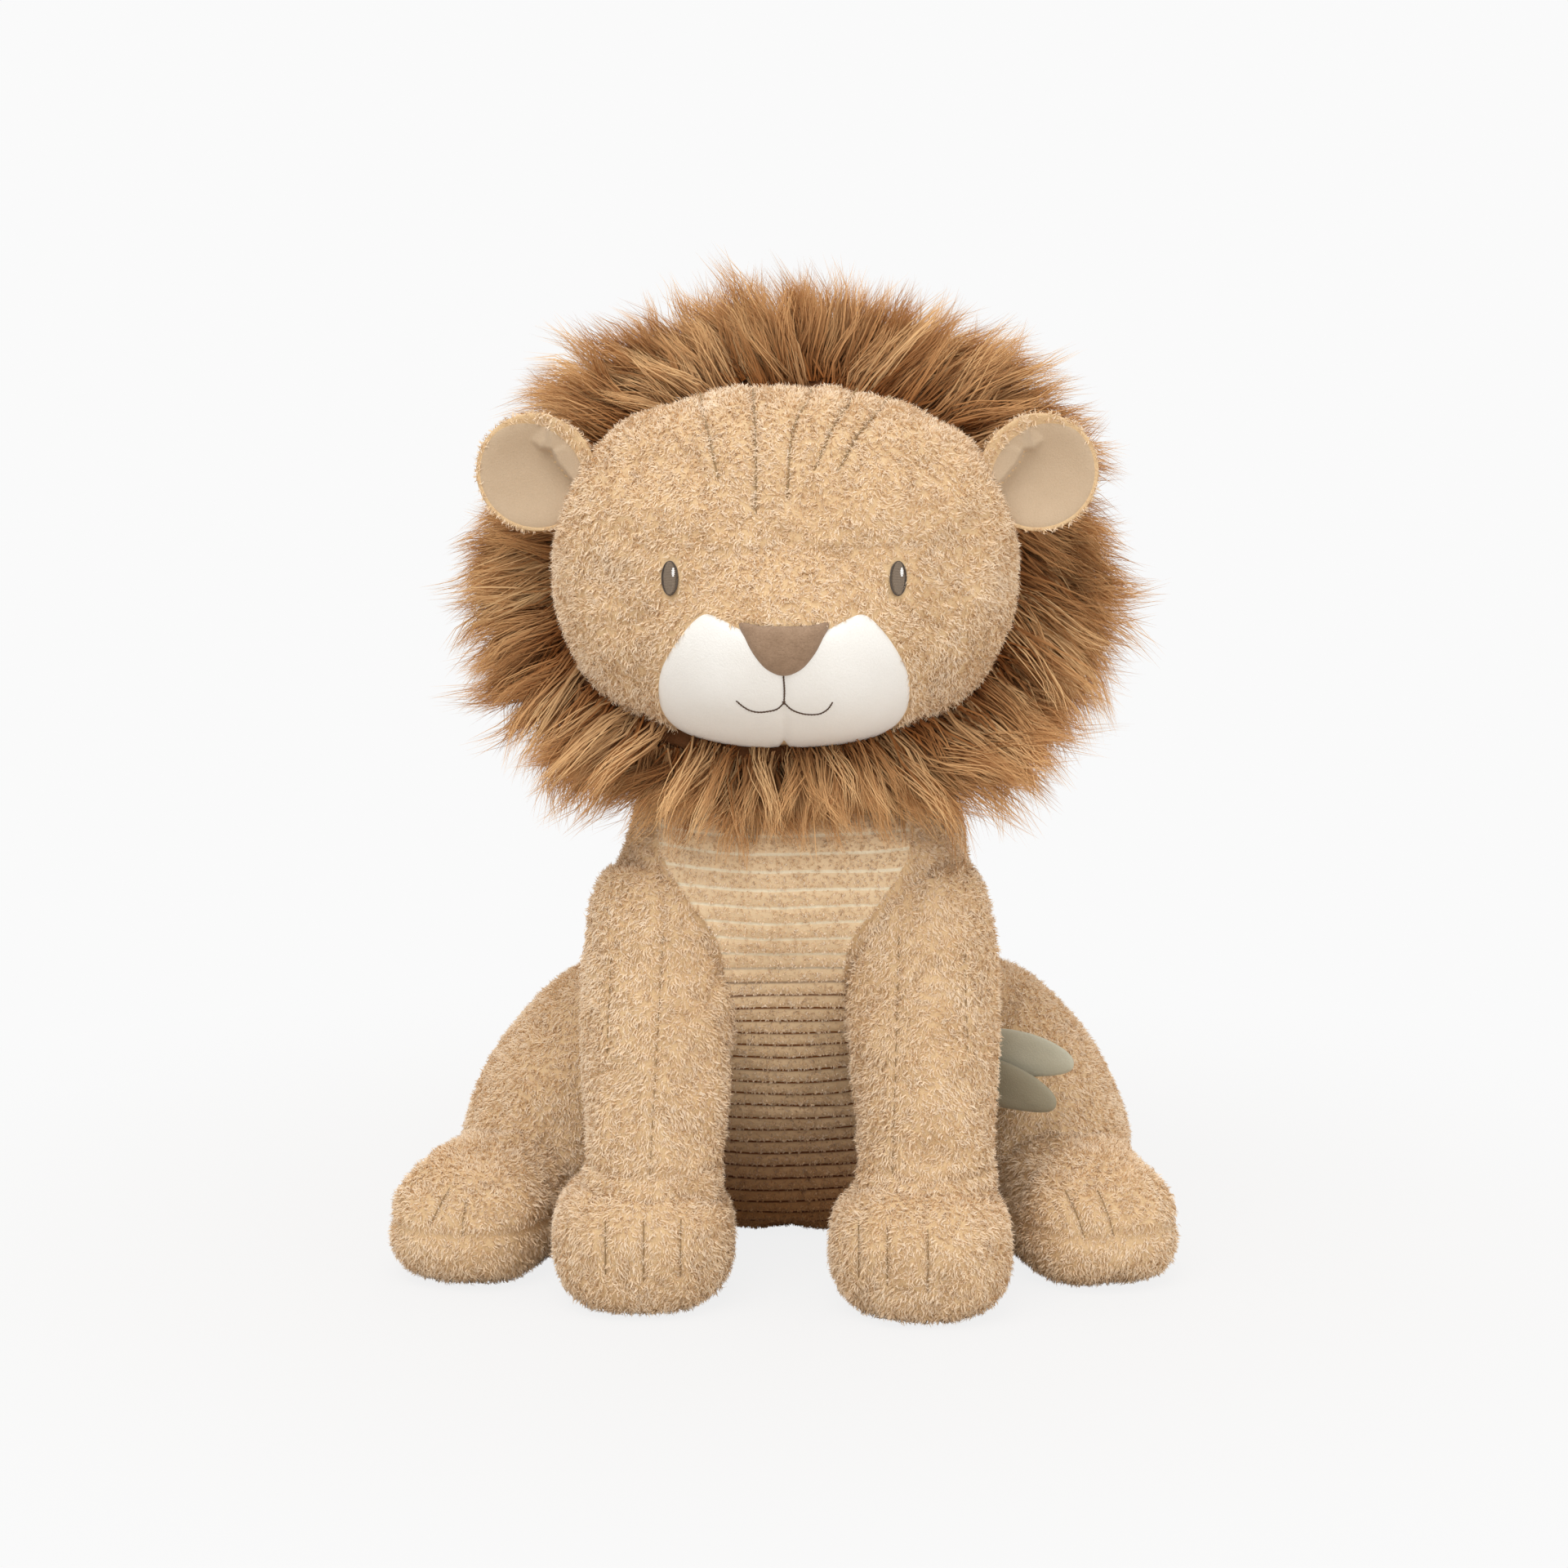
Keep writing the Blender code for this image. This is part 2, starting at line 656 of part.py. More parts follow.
def head_room():
    """What the ears keep clear of."""
    return head_form(joint_gap)


for side, side_name in ((1, "left"), (-1, "right")):
    base, _, upward = ear_axes(side)
    ear = piece(f"ear_{side_name}", ear_form(side), terry, pivot=base, parent=head_cover)
    bead = rod(f"ear_bead_{side_name}", base, upward, ear_half_thickness, ear_base_width)
    groove_radius = (ear_half_thickness + joint_gap) / math.cos(math.pi / rod_facets)
    groove = rod(f"ear_groove_{side_name}", base, upward, groove_radius, ear_base_width + 2 * seam_gap)
    recess_layer = (-lining_depth - seam_gap, overrun)
    recess_form = ear_form(side, lining_share + lining_margin_share, recess_layer, lining_facets)
    recess = cutter(f"ear_recess_{side_name}", recess_form)
    trim_sweep(ear, f"ear_room_{side_name}", head_room, base, upward, -side * ear_fold)
    combine(ear, bead, "UNION")
    combine(ear, recess)
    for head_piece in (head_cover, head_filling):
        combine(head_piece, groove)
    lining_form = ear_form(side, lining_share, (-lining_depth, lining_raise), lining_facets)
    lining = piece(f"ear_lining_{side_name}", lining_form, beige, parent=ear)
    trim_sweep(lining, f"lining_room_{side_name}", head_room, base, upward, -side * ear_fold)
    combine(lining, bead)

# Legs


def torso_room():
    """What the limbs keep clear of."""
    return torso_form(-seam_gap)


def foreleg_form(side, outset=0.0):
    """A foreleg from the ankle up to just under the top of its shoulder ball."""
    top = mirrored(shoulder, side) + Vector((0, 0, foreleg_top))
    place = swell(mirrored(ankle, side), top, foreleg_half_width, foreleg_half_depth,
                  foreleg_width_shares, foreleg_width_shares, (1, 0), foreleg_roundness, -outset)
    return form(place, *limb_facets)


def thigh_form(side):
    """A thigh that spreads towards the floor."""
    low = mirrored(thigh_low, side) - Vector((0, 0, floor_cut))
    place = swell(low, mirrored(thigh_high, side), thigh_half_width, thigh_half_depth,
                  thigh_width_shares, thigh_depth_shares, thigh_lean_shares, thigh_roundness)
    return form(place, *limb_facets)


def forepaw_form(side, outset=0.0):
    """A forepaw, or the room that it needs in the foreleg."""
    middle = mirrored(forepaw_centre, side) + Vector((0, 0, forepaw_half_height - floor_cut))
    halves = (forepaw_half_width, forepaw_half_depth, forepaw_half_height)
    return form(pad(middle, halves, paw_power, outset=outset), *limb_facets)


def hind_paw_form(side, outset=0.0):
    """A hind paw with its sole, or the room that it needs in the thigh."""
    middle = mirrored(hind_paw_centre, side) + Vector((0, 0, hind_paw_half_height - floor_cut))
    halves = (hind_paw_half_width, hind_paw_half_depth, hind_paw_half_height)
    return form(pad(middle, halves, paw_power, side * hind_paw_turn, outset), *limb_facets)


below_sole_seam = box("below_sole_seam", block_low, Vector((*block_high.xy, sole_seam_height + seam_gap)))
above_sole_seam = box("above_sole_seam", Vector((*block_low.xy, sole_seam_height)), block_high)
for side, side_name in ((1, "left"), (-1, "right")):
    pivot = mirrored(shoulder, side)
    foreleg = piece(f"foreleg_{side_name}", foreleg_form(side), terry, pivot=pivot, parent=torso_cover)
    trim_sweep(foreleg, f"torso_by_foreleg_{side_name}", torso_room, pivot, "X", -foreleg_swing)
    combine(foreleg, cutter(f"shoulder_ball_{side_name}", ball(pivot, shoulder_radius)), "UNION")
    combine(foreleg, cutter(f"forepaw_room_{side_name}", forepaw_form(side, seam_gap)))
    foreleg_room = partial(foreleg_form, side, joint_gap)
    trim_sweep(belly_panel, f"foreleg_by_panel_{side_name}", foreleg_room, pivot, "X", foreleg_swing)
    forepaw = piece(f"forepaw_{side_name}", forepaw_form(side), terry, parent=foreleg)
    combine(forepaw, floor)

    pivot = mirrored(hip, side)
    thigh = piece(f"thigh_{side_name}", thigh_form(side), terry, pivot=pivot, parent=torso_cover)
    trim_sweep(thigh, f"torso_by_thigh_{side_name}", torso_room, pivot, "Z", side * hind_leg_splay)
    combine(thigh, cutter(f"hip_ball_{side_name}", ball(pivot, hip_radius)), "UNION")
    combine(thigh, floor)
    combine(thigh, cutter(f"hind_paw_room_{side_name}", hind_paw_form(side, seam_gap)))
    hind_paw = piece(f"hind_paw_{side_name}", hind_paw_form(side), terry, parent=thigh)
    combine(hind_paw, below_sole_seam)
    hind_sole = piece(f"hind_sole_{side_name}", hind_paw_form(side), terry, parent=thigh)
    combine(hind_sole, above_sole_seam)
    combine(hind_sole, floor)
for hollow in limb_sockets:
    combine(belly_panel, hollow)

# Tail


def tail_point(share):
    """The tail's middle, from its root to its end beside the right hip."""
    return Vector((
        -tail_length * share**tail_turn_power,
        tail_root.y + tail_bow * (1 - (1 - share) ** tail_bow_power) - tail_return * share**2,
        tail_radius - floor_cut + (tail_root.z - tail_radius) * (1 - share) ** 2 + tail_lift * share**3,
    ))


def along_path(path, share):
    """A path's point, and two directions across it there."""
    ahead = (path(min(1.0, share + path_step_share)) - path(max(0.0, share - path_step_share))).normalized()
    level = ahead.cross(Vector((0, 0, 1))).normalized()
    return path(share), level, level.cross(ahead)


def tail_form(outset=0.0):
    """The tail's round tube with rounded ends."""

    def place(x, y, z):
        middle, level, upward = along_path(tail_point, (1 + z) / 2)
        around = math.hypot(x, y) or 1
        full = (tail_radius + outset) * dome((1 + z) / 2, tail_roundness)
        return middle + (level * x + upward * y) * (full / around)

    return form(place, *tail_facets)


def tuft_form():
    """The tuft of long pile at the tail's end: a drop with locks along it."""
    start, level, upward = along_path(tail_point, 1)
    ahead = upward.cross(level)
    middle = Vector((start.x, start.y, tuft_radius - floor_cut)) + ahead * (tuft_length * tuft_overlap_share)

    def place(x, y, z):
        share = (1 + z) / 2
        around = math.atan2(y, x)
        lock = 2 * abs((around * tuft_locks / math.tau) % 1 - 0.5)
        taper = math.sqrt(max(0.0, 1 - z * z)) * (1 - tuft_taper_share * share)
        full = taper * (tuft_radius - tuft_lock_depth * lock * share)
        outward = level * math.cos(around) + upward * math.sin(around)
        return middle + ahead * (tuft_length / 2 * z) + outward * full

    return form(place, 2 * tuft_locks, tuft_rings)


tail = piece("tail", tail_form(), terry, pivot=tail_root, parent=torso_cover)
trim_sweep(tail, "torso_by_tail", torso_room, tail_root, "Z", -tail_swing)
combine(tail, cutter("tail_ball", ball(tail_root, tail_root_radius)), "UNION")
combine(tail, floor)
tail_tuft = piece("tail_tuft", tuft_form(), long_pile, parent=tail)
combine(tail_tuft, cutter("tail_room", tail_form(seam_gap)))
combine(tail_tuft, floor)

# Leaves


def leaf_form(root):
    """A padded leaf, pointed at its tip and drawn in at the seam that holds it."""
    along = Vector((math.cos(leaf_sweep), -math.sin(leaf_sweep), -math.tan(leaf_droop))).normalized()
    through = Vector((0, 0, 1)).cross(along).normalized()
    across = along.cross(through)

    def place(x, y, z):
        share = (1 + x) / 2
        side = z / math.sqrt(1 - x * x) if abs(x) < 1 else 0.0
        outline = math.sin(math.pi * share) ** leaf_outline_power if 0 < share < 1 else 0.0
        middle = root + along * (leaf_length * share - leaf_root_depth)
        return middle + across * (leaf_half_width * outline * side) + through * (leaf_half_thickness * y)

    return form(place, *leaf_facets, pole_along_y=True)


leaf_pivot = torso_side(leaf_seam_y, leaf_seam_height - leaf_drop / 2)
upper_root = torso_side(leaf_seam_y + leaf_step, leaf_seam_height)
lower_root = torso_side(leaf_seam_y, leaf_seam_height - leaf_drop)
leaf_upper = piece("leaf_upper", leaf_form(upper_root), sage, pivot=leaf_pivot, parent=torso_cover)
leaf_lower = piece("leaf_lower", leaf_form(lower_root), sage_dark, parent=leaf_upper)
for leaf in (leaf_upper, leaf_lower):
    for way, flap in (("forward", -leaf_flap_forward), ("back", leaf_flap_back)):
        trim_sweep(leaf, f"torso_by_{leaf.name}_{way}", torso_room, leaf_pivot, "Z", flap)

bpy.context.view_layer.update()
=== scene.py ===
import json
import math
import random

import bmesh
import bpy
import numpy as np
from mathutils import Matrix, Vector, noise
from mathutils.bvhtree import BVHTree

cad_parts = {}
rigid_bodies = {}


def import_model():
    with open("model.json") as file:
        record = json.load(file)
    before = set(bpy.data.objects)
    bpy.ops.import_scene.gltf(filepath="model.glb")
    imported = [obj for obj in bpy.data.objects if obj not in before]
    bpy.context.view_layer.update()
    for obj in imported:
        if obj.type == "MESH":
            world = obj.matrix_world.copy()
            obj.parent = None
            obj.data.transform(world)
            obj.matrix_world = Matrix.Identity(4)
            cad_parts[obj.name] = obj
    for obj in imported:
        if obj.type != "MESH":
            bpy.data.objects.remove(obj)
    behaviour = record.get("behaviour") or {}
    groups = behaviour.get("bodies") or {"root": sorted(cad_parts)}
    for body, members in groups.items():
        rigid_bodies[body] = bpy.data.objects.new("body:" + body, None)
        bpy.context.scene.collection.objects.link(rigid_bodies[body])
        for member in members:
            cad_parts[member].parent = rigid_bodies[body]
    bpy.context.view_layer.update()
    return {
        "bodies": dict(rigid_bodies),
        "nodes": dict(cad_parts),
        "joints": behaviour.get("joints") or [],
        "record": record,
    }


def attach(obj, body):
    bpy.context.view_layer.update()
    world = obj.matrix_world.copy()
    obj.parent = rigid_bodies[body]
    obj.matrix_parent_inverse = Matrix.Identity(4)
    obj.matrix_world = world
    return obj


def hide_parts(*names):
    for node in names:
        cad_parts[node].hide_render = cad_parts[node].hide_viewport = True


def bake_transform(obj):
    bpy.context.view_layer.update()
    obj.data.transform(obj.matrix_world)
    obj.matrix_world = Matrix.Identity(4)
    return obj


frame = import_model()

scene = bpy.context.scene
stance = -0.011  # everything stands this far forward, as in the solids
sides = ((1, "left"), (-1, "right"))  # the lion's own left is at +X
print("frame loaded")


def paint(code):
    # linear colour of a hex code
    shares = [int(code[k:k + 2], 16) / 255 for k in (1, 3, 5)]
    return (*[s / 12.92 if s <= 0.04045 else ((s + 0.055) / 1.055) ** 2.4 for s in shares], 1)


def addNode(tree, kind, inputs=(), **settings):
    made = tree.nodes.new(kind)
    for key, value in settings.items():
        setattr(made, key, value)
    for key, value in dict(inputs).items():
        if isinstance(value, bpy.types.NodeSocket):
            tree.links.new(value, made.inputs[key])
        else:
            made.inputs[key].default_value = value
    return made


def vectorMath(tree, operation, *values):
    slots = {3: values[1]} if operation == "SCALE" else dict(enumerate(values))
    slots[0] = values[0]
    made = addNode(tree, "ShaderNodeVectorMath", slots, operation=operation)
    return made.outputs["Value" if operation in ("DOT_PRODUCT", "LENGTH") else "Vector"]


def plainMath(tree, operation, *values, clamp=False):
    return addNode(tree, "ShaderNodeMath", dict(enumerate(values)), operation=operation, use_clamp=clamp).outputs[0]


def blendColours(tree, factor, first, second, blendType="MIX"):
    made = addNode(tree, "ShaderNodeMix", data_type="RGBA", blend_type=blendType, clamp_factor=True)
    for key, value in ((0, factor), (6, first), (7, second)):
        if isinstance(value, bpy.types.NodeSocket):
            tree.links.new(value, made.inputs[key])
        else:
            made.inputs[key].default_value = value
    return made.outputs[2]


def newGroup(name, kind, inputs, outputs):
    tree = bpy.data.node_groups.new(name, kind)
    for label, socketType in inputs:
        tree.interface.new_socket(label, in_out="INPUT", socket_type=socketType)
    for label, socketType in outputs:
        tree.interface.new_socket(label, in_out="OUTPUT", socket_type=socketType)
    return tree, tree.nodes.new("NodeGroupInput").outputs, tree.nodes.new("NodeGroupOutput").inputs


def newMaterial(name, roughness=0.9, sheen=0.0, sheenTint=(1, 1, 1, 1)):
    material = bpy.data.materials.new(name)
    material.use_nodes = True
    shader = material.node_tree.nodes["Principled BSDF"]
    shader.inputs["Roughness"].default_value = roughness
    shader.inputs["Specular IOR Level"].default_value = 0.25
    shader.inputs["Sheen Weight"].default_value = sheen
    shader.inputs["Sheen Tint"].default_value = sheenTint
    return material, material.node_tree, shader.inputs


colours = {
    "terryRoot": "#E6C69A", "terryTip": "#F5E2CA", "terryDark": "#DBB78A", "terryLight": "#FBEFDF",
    "terryGround": "#E0C196",
    "maneRoot": "#804A1E", "maneTip": "#E6B67E", "maneDark": "#955A27", "maneLight": "#F5D19C",
    # maneGround is the mane's own dark backing, and partly painted shade for the gaps between the locks
    "maneGround": "#673F20",
    # the second sage is the first one darkened, painted shade for the lower leaf
    "cream": "#F4F2ED", "taupe": "#A2866D", "beige": "#C6AF93", "sage": "#BEBAA6", "sageShaded": "#9A927C",
    "mouth": "#56402F", "crease": "#A3875F", "eyeDark": "#54483E",
}


def makePileGroup():
    # Colour along a strand from root to tip, shifted strand by strand: the strand's map holds tone and height.
    tree, given, out = newGroup(
        "pileColour", "ShaderNodeTree",
        [("Root", "NodeSocketColor"), ("Tip", "NodeSocketColor"), ("Dark", "NodeSocketColor"),
         ("Light", "NodeSocketColor"), ("Contrast", "NodeSocketFloat")],
        [("Colour", "NodeSocketColor"), ("Roughness", "NodeSocketFloat")])
    placed = addNode(tree, "ShaderNodeUVMap", uv_map="OFBake").outputs["UV"]
    parts = addNode(tree, "ShaderNodeSeparateXYZ", {0: placed}).outputs
    along = blendColours(tree, parts["Y"], given["Root"], given["Tip"])
    lightShare = plainMath(tree, "MULTIPLY", plainMath(tree, "SUBTRACT", parts["X"], 0.5), given["Contrast"],
                           clamp=True)
    darkShare = plainMath(tree, "MULTIPLY", plainMath(tree, "SUBTRACT", 0.5, parts["X"]), given["Contrast"],
                          clamp=True)
    toned = blendColours(tree, lightShare, along, given["Light"])
    toned = blendColours(tree, darkShare, toned, given["Dark"])
    tree.links.new(toned, out["Colour"])
    tree.links.new(plainMath(tree, "MULTIPLY_ADD", parts["Y"], -0.12, 0.95), out["Roughness"])
    return tree


def makeNapGroup():
    # Fine nap of a cut or looped cloth: a blotchy colour and a height, both in real sizes.
    tree, given, out = newGroup(
        "clothNap", "ShaderNodeTree",
        [("Colour", "NodeSocketColor"), ("Shade", "NodeSocketColor"), ("Grain Scale", "NodeSocketFloat"),
         ("Blotch Scale", "NodeSocketFloat"), ("Strength", "NodeSocketFloat")],
        [("Colour", "NodeSocketColor"), ("Height", "NodeSocketFloat"), ("Roughness", "NodeSocketFloat")])
    place = addNode(tree, "ShaderNodeTexCoord").outputs["Object"]
    grain = addNode(tree, "ShaderNodeTexNoise", {"Vector": place, "Scale": given["Grain Scale"], "Detail": 3.0,
                                                 "Roughness": 0.65})
    blotch = addNode(tree, "ShaderNodeTexNoise", {"Vector": place, "Scale": given["Blotch Scale"], "Detail": 2.0})
    both = plainMath(tree, "ADD", plainMath(tree, "MULTIPLY", grain.outputs["Fac"], 0.6),
                     plainMath(tree, "MULTIPLY", blotch.outputs["Fac"], 0.4))
    share = plainMath(tree, "MULTIPLY", plainMath(tree, "SUBTRACT", both, 0.38), given["Strength"], clamp=True)
    tree.links.new(blendColours(tree, share, given["Colour"], given["Shade"]), out["Colour"])
    tree.links.new(grain.outputs["Fac"], out["Height"])
    tree.links.new(plainMath(tree, "MULTIPLY_ADD", grain.outputs["Fac"], 0.2, 0.78), out["Roughness"])
    return tree


pileGroup = makePileGroup()
napGroup = makeNapGroup()


def pileMaterial(name, root, tip, dark, light, contrast, sheen, roughness=0.85):
    material, tree, shader = newMaterial(name, roughness, sheen, paint(light))
    pile = addNode(tree, "ShaderNodeGroup", node_tree=pileGroup)
    for label, code in (("Root", root), ("Tip", tip), ("Dark", dark), ("Light", light)):
        pile.inputs[label].default_value = paint(code)
    pile.inputs["Contrast"].default_value = contrast
    tree.links.new(pile.outputs["Colour"], shader["Base Color"])
    tree.links.new(pile.outputs["Roughness"], shader["Roughness"])
    return material


def napMaterial(name, colour, shade, grainScale, blotchScale, strength, bump, sheen, sheenTint="#FFFFFF"):
    material, tree, shader = newMaterial(name, 0.9, sheen, paint(sheenTint))
    nap = addNode(tree, "ShaderNodeGroup", node_tree=napGroup)
    nap.inputs["Colour"].default_value = paint(colour)
    nap.inputs["Shade"].default_value = paint(shade)
    nap.inputs["Grain Scale"].default_value = grainScale
    nap.inputs["Blotch Scale"].default_value = blotchScale
    nap.inputs["Strength"].default_value = strength
    relief = addNode(tree, "ShaderNodeBump", {"Height": nap.outputs["Height"], "Strength": 1.0, "Distance": bump})
    tree.links.new(nap.outputs["Colour"], shader["Base Color"])
    tree.links.new(nap.outputs["Roughness"], shader["Roughness"])
    tree.links.new(relief.outputs["Normal"], shader["Normal"])
    return material


terryPile = pileMaterial("terry pile", colours["terryRoot"], colours["terryTip"], colours["terryDark"],
                         colours["terryLight"], 0.5, 0.25)
terryGround = napMaterial("terry ground", colours["terryGround"], "#D3B084", 700, 60, 1.5, 0.0008, 0.1)
manePile = pileMaterial("mane pile", colours["maneRoot"], colours["maneTip"], colours["maneDark"],
                        colours["maneLight"], 1.1, 0.05, 0.6)
# the mane's dark ground: its own backing colour, and partly painted shade in the gaps between the locks
maneGround = napMaterial("mane ground", colours["maneGround"], "#543620", 500, 40, 1.2, 0.001, 0.0)
creamVelour = napMaterial("cream velour", colours["cream"], "#E6E1D8", 900, 45, 0.9, 0.0003, 0.2)
taupeVelour = napMaterial("taupe velour", colours["taupe"], "#826850", 800, 160, 2.2, 0.0007, 0.2)
beigeVelour = napMaterial("beige velour", colours["beige"], "#AF9678", 1000, 70, 1.1, 0.0003, 0.2)
sageVelour = napMaterial("sage velour", colours["sage"], "#A5A189", 1000, 80, 1.0, 0.0003, 0.2)


def smoothShare(tree, value, start, end):
    return addNode(tree, "ShaderNodeMapRange", {"Value": value, "From Min": start, "From Max": end},
                   interpolation_type="SMOOTHSTEP").outputs[0]


ribLook = {
    # crease is painted shade, the dark of the lower valleys; lowShade is painted shade at the belly's foot
    "cloth": "#E7CCA6", "line": "#EEE0C4", "crease": "#80512A", "lowShade": "#C3A17E",
    # where each colour starts and is full: in ribs from a valley, then in metres above the ground
    "lineReach": (0.110, 0.060), "creaseShadeReach": (0.125, 0.045), "creaseShadeHeights": (0.212, 0.165),
    "shadeHeights": (0.12, 0.01), "grainScale": 900.0, "grainDepth": 0.0004,
}


def shadeLow(material):
    # painted shade: the belly's colour turns darker and warmer between the legs, down at its lower end
    tree = material.node_tree
    shader = tree.nodes["Principled BSDF"]
    colour = shader.inputs["Base Color"].links[0].from_socket
    place = addNode(tree, "ShaderNodeTexCoord").outputs["Object"]
    height = addNode(tree, "ShaderNodeSeparateXYZ", {0: place}).outputs["Z"]
    share = smoothShare(tree, height, *ribLook["shadeHeights"])
    tree.links.new(blendColours(tree, share, colour, paint(ribLook["lowShade"]), "MULTIPLY"),
                   shader.inputs["Base Color"])


def makeRibGround():
    # a pale line in each valley, with a brown crease in it lower down that is painted shade of the deeper valleys: the
    # field "rib" counts the ribs
    material, tree, shader = newMaterial("rib ground", 0.9, 0.1)
    count = addNode(tree, "ShaderNodeAttribute", attribute_name="rib").outputs["Fac"]
    away = plainMath(tree, "PINGPONG", count, 0.5)
    place = addNode(tree, "ShaderNodeTexCoord").outputs["Object"]
    height = addNode(tree, "ShaderNodeSeparateXYZ", {0: place}).outputs["Z"]
    low = smoothShare(tree, height, *ribLook["creaseShadeHeights"])
    pale = smoothShare(tree, away, *ribLook["lineReach"])
    deep = smoothShare(tree, away, *ribLook["creaseShadeReach"])
    lined = blendColours(tree, pale, paint(ribLook["cloth"]), paint(ribLook["line"]))
    # painted shade: the crease colour darkens the valleys lower down
    lined = blendColours(tree, plainMath(tree, "MULTIPLY", deep, low), lined, paint(ribLook["crease"]))
    tree.links.new(lined, shader["Base Color"])
    grain = addNode(tree, "ShaderNodeTexNoise", {"Vector": place, "Scale": ribLook["grainScale"], "Detail": 2.0})
    relief = addNode(tree, "ShaderNodeBump", {"Height": grain.outputs["Fac"], "Strength": 1.0,
                                              "Distance": ribLook["grainDepth"]})
    tree.links.new(relief.outputs["Normal"], shader["Normal"])
    shadeLow(material)
    return material


def threadMaterial(name, code, shade, roughness=0.55):
    # twisted thread: fine slanted bands of a darker shade
    material, tree, shader = newMaterial(name, roughness, 0.2)
    place = addNode(tree, "ShaderNodeTexCoord").outputs["Object"]
    bands = addNode(tree, "ShaderNodeTexNoise", {"Vector": place, "Scale": 1800.0, "Detail": 1.0})
    tree.links.new(blendColours(tree, bands.outputs["Fac"], paint(code), paint(shade)), shader["Base Color"])
    return material


ribPile = pileMaterial("rib pile", "#ECCFA6", "#FAEAD5", "#E2BF92", "#FDF6EC", 0.6, 0.1)
# painted shade on the belly pile as well, darker and warmer down at its lower end
shadeLow(ribPile)
ribGround = makeRibGround()
eyeThread = threadMaterial("eye thread", "#8F7F6D", "#6C5D4E", 0.45)
eyeEdgeThread = threadMaterial("eye outline thread", colours["eyeDark"], "#443930", 0.45)
whiteThread = threadMaterial("white thread", "#FFFFFF", "#F2F0EC", 0.3)
mouthThread = threadMaterial("mouth thread", colours["mouth"], "#483528", 0.6)
seamThread = threadMaterial("seam thread", colours["crease"], "#8E744F", 0.9)
# painted shade: the lower leaf's sage, darkened for the shade it lies in
sageShadedVelour = napMaterial("dark sage velour", colours["sageShaded"], "#8A846C", 1000, 80, 1.0, 0.0003, 0.2)
print("finishes made")

stray = {  # how far each limb lies from its twin's mirrored place, x and y in metres
    ("foreleg", 1): (0.003, 0), ("foreleg", -1): (0.004, 0.004), ("forepaw", 1): (-0.0035, 0.001),
    ("forepaw", -1): (0.001, 0.018), ("thigh", 1): (0.0035, 0), ("thigh", -1): (0.012, 0),
    ("hindPaw", 1): (-0.004, -0.012), ("hindPaw", -1): (0.004, -0.008),
    ("ear", -1): (0.004, 0),
}
torso = {
    "height": 0.303, "halfWidth": 0.119, "halfDepth": 0.104, "seatY": stance + 0.093, "neckY": stance - 0.038,
    "widths": (1.0, 1.0, 1.0, 0.975, 0.935, 0.895, 0.865, 0.86, 0.82),
    "depths": (0.82, 0.91, 0.965, 1.0, 1.0, 0.985, 0.925, 0.83, 0.74),
    "leans": (1.0, 0.97, 0.87, 0.70, 0.527, 0.336, 0.16, 0.046, 0.0),
    "roundness": 6.5, "sideShift": 0.0080, "cuts": 50,
}
head = {
    "centre": Vector((0.001, stance - 0.058, 0.4222)), "halves": (0.1300, 0.093, 0.1020), "outlinePower": 2.35,
    "profilePower": 2.3,
    # each bulge: height, half width, half height and reach
    "bulges": [(0.370, 0.067, 0.054, 0.033), (0.415, 0.040, 0.024, 0.006)], "bulgePower": 2.6, "cuts": 58,
}
foreleg = {
    "shoulder": Vector((0.078, stance - 0.075, 0.205)), "ankle": Vector((0.080, stance - 0.117, 0.052)),
    "halfWidth": 0.0415, "halfDepth": 0.039, "widths": (0.96, 0.96, 1.0, 1.0, 0.96, 0.90), "roundness": 6,
    "top": 0.040, "cuts": 32, "bend": ((0.078, -0.062, 0.232),
             (0.078, -0.090, 0.165)),  # where the shoulder starts and stops bending, y from the stance
}
forepaw = {"centre": Vector((0.083, stance - 0.125, 0)), "halves": (0.0495, 0.059, 0.0375), "power": 2.5,
           "topPower": 2.5, "solePower": 3.4, "turn": 0, "cuts": 28}
thigh = {
    "low": Vector((0.152, stance + 0.056, 0)), "high": Vector((0.121, stance + 0.062, 0.157)), "halfWidth": 0.059,
    "halfDepth": 0.081, "widths": (0.86, 0.97, 1.0, 0.95, 0.86, 0.72, 0.6),
    "depths": (0.86, 0.96, 1.0, 0.98, 0.92, 0.82, 0.7),
    "leans": (1.0, 1.0, 0.93, 0.78, 0.55, 0.27, 0.0), "roundness": 3.2, "cuts": 30,
}
hindPaw = {
    "centre": Vector((0.184, stance - 0.028, 0)), "halves": (0.0465, 0.071, 0.0350), "power": 2.9, "topPower": 2.2,
    "solePower": 3.8, "turn": math.radians(13), "cuts": 28,
}


def readShares(shares, where):
    # smooth curve through equally spaced shares
    steps = len(shares) - 1
    span = min(max(where, 0.0), 1.0) * steps
    first = min(int(span), steps - 1)
    t = span - first
    before, start, end, after = (shares[min(max(first + k, 0), steps)] for k in (-1, 0, 1, 2))
    rise, fall = (end - before) / 2, (after - start) / 2
    placed = (2 * t**3 - 3 * t**2 + 1) * start + (3 * t**2 - 2 * t**3) * end
    return placed + (t**3 - 2 * t**2 + t) * rise + (t**3 - t**2) * fall


def fullness(where, roundness):
    return max(0.0, 1 - abs(2 * where - 1) ** roundness) ** (1 / roundness)


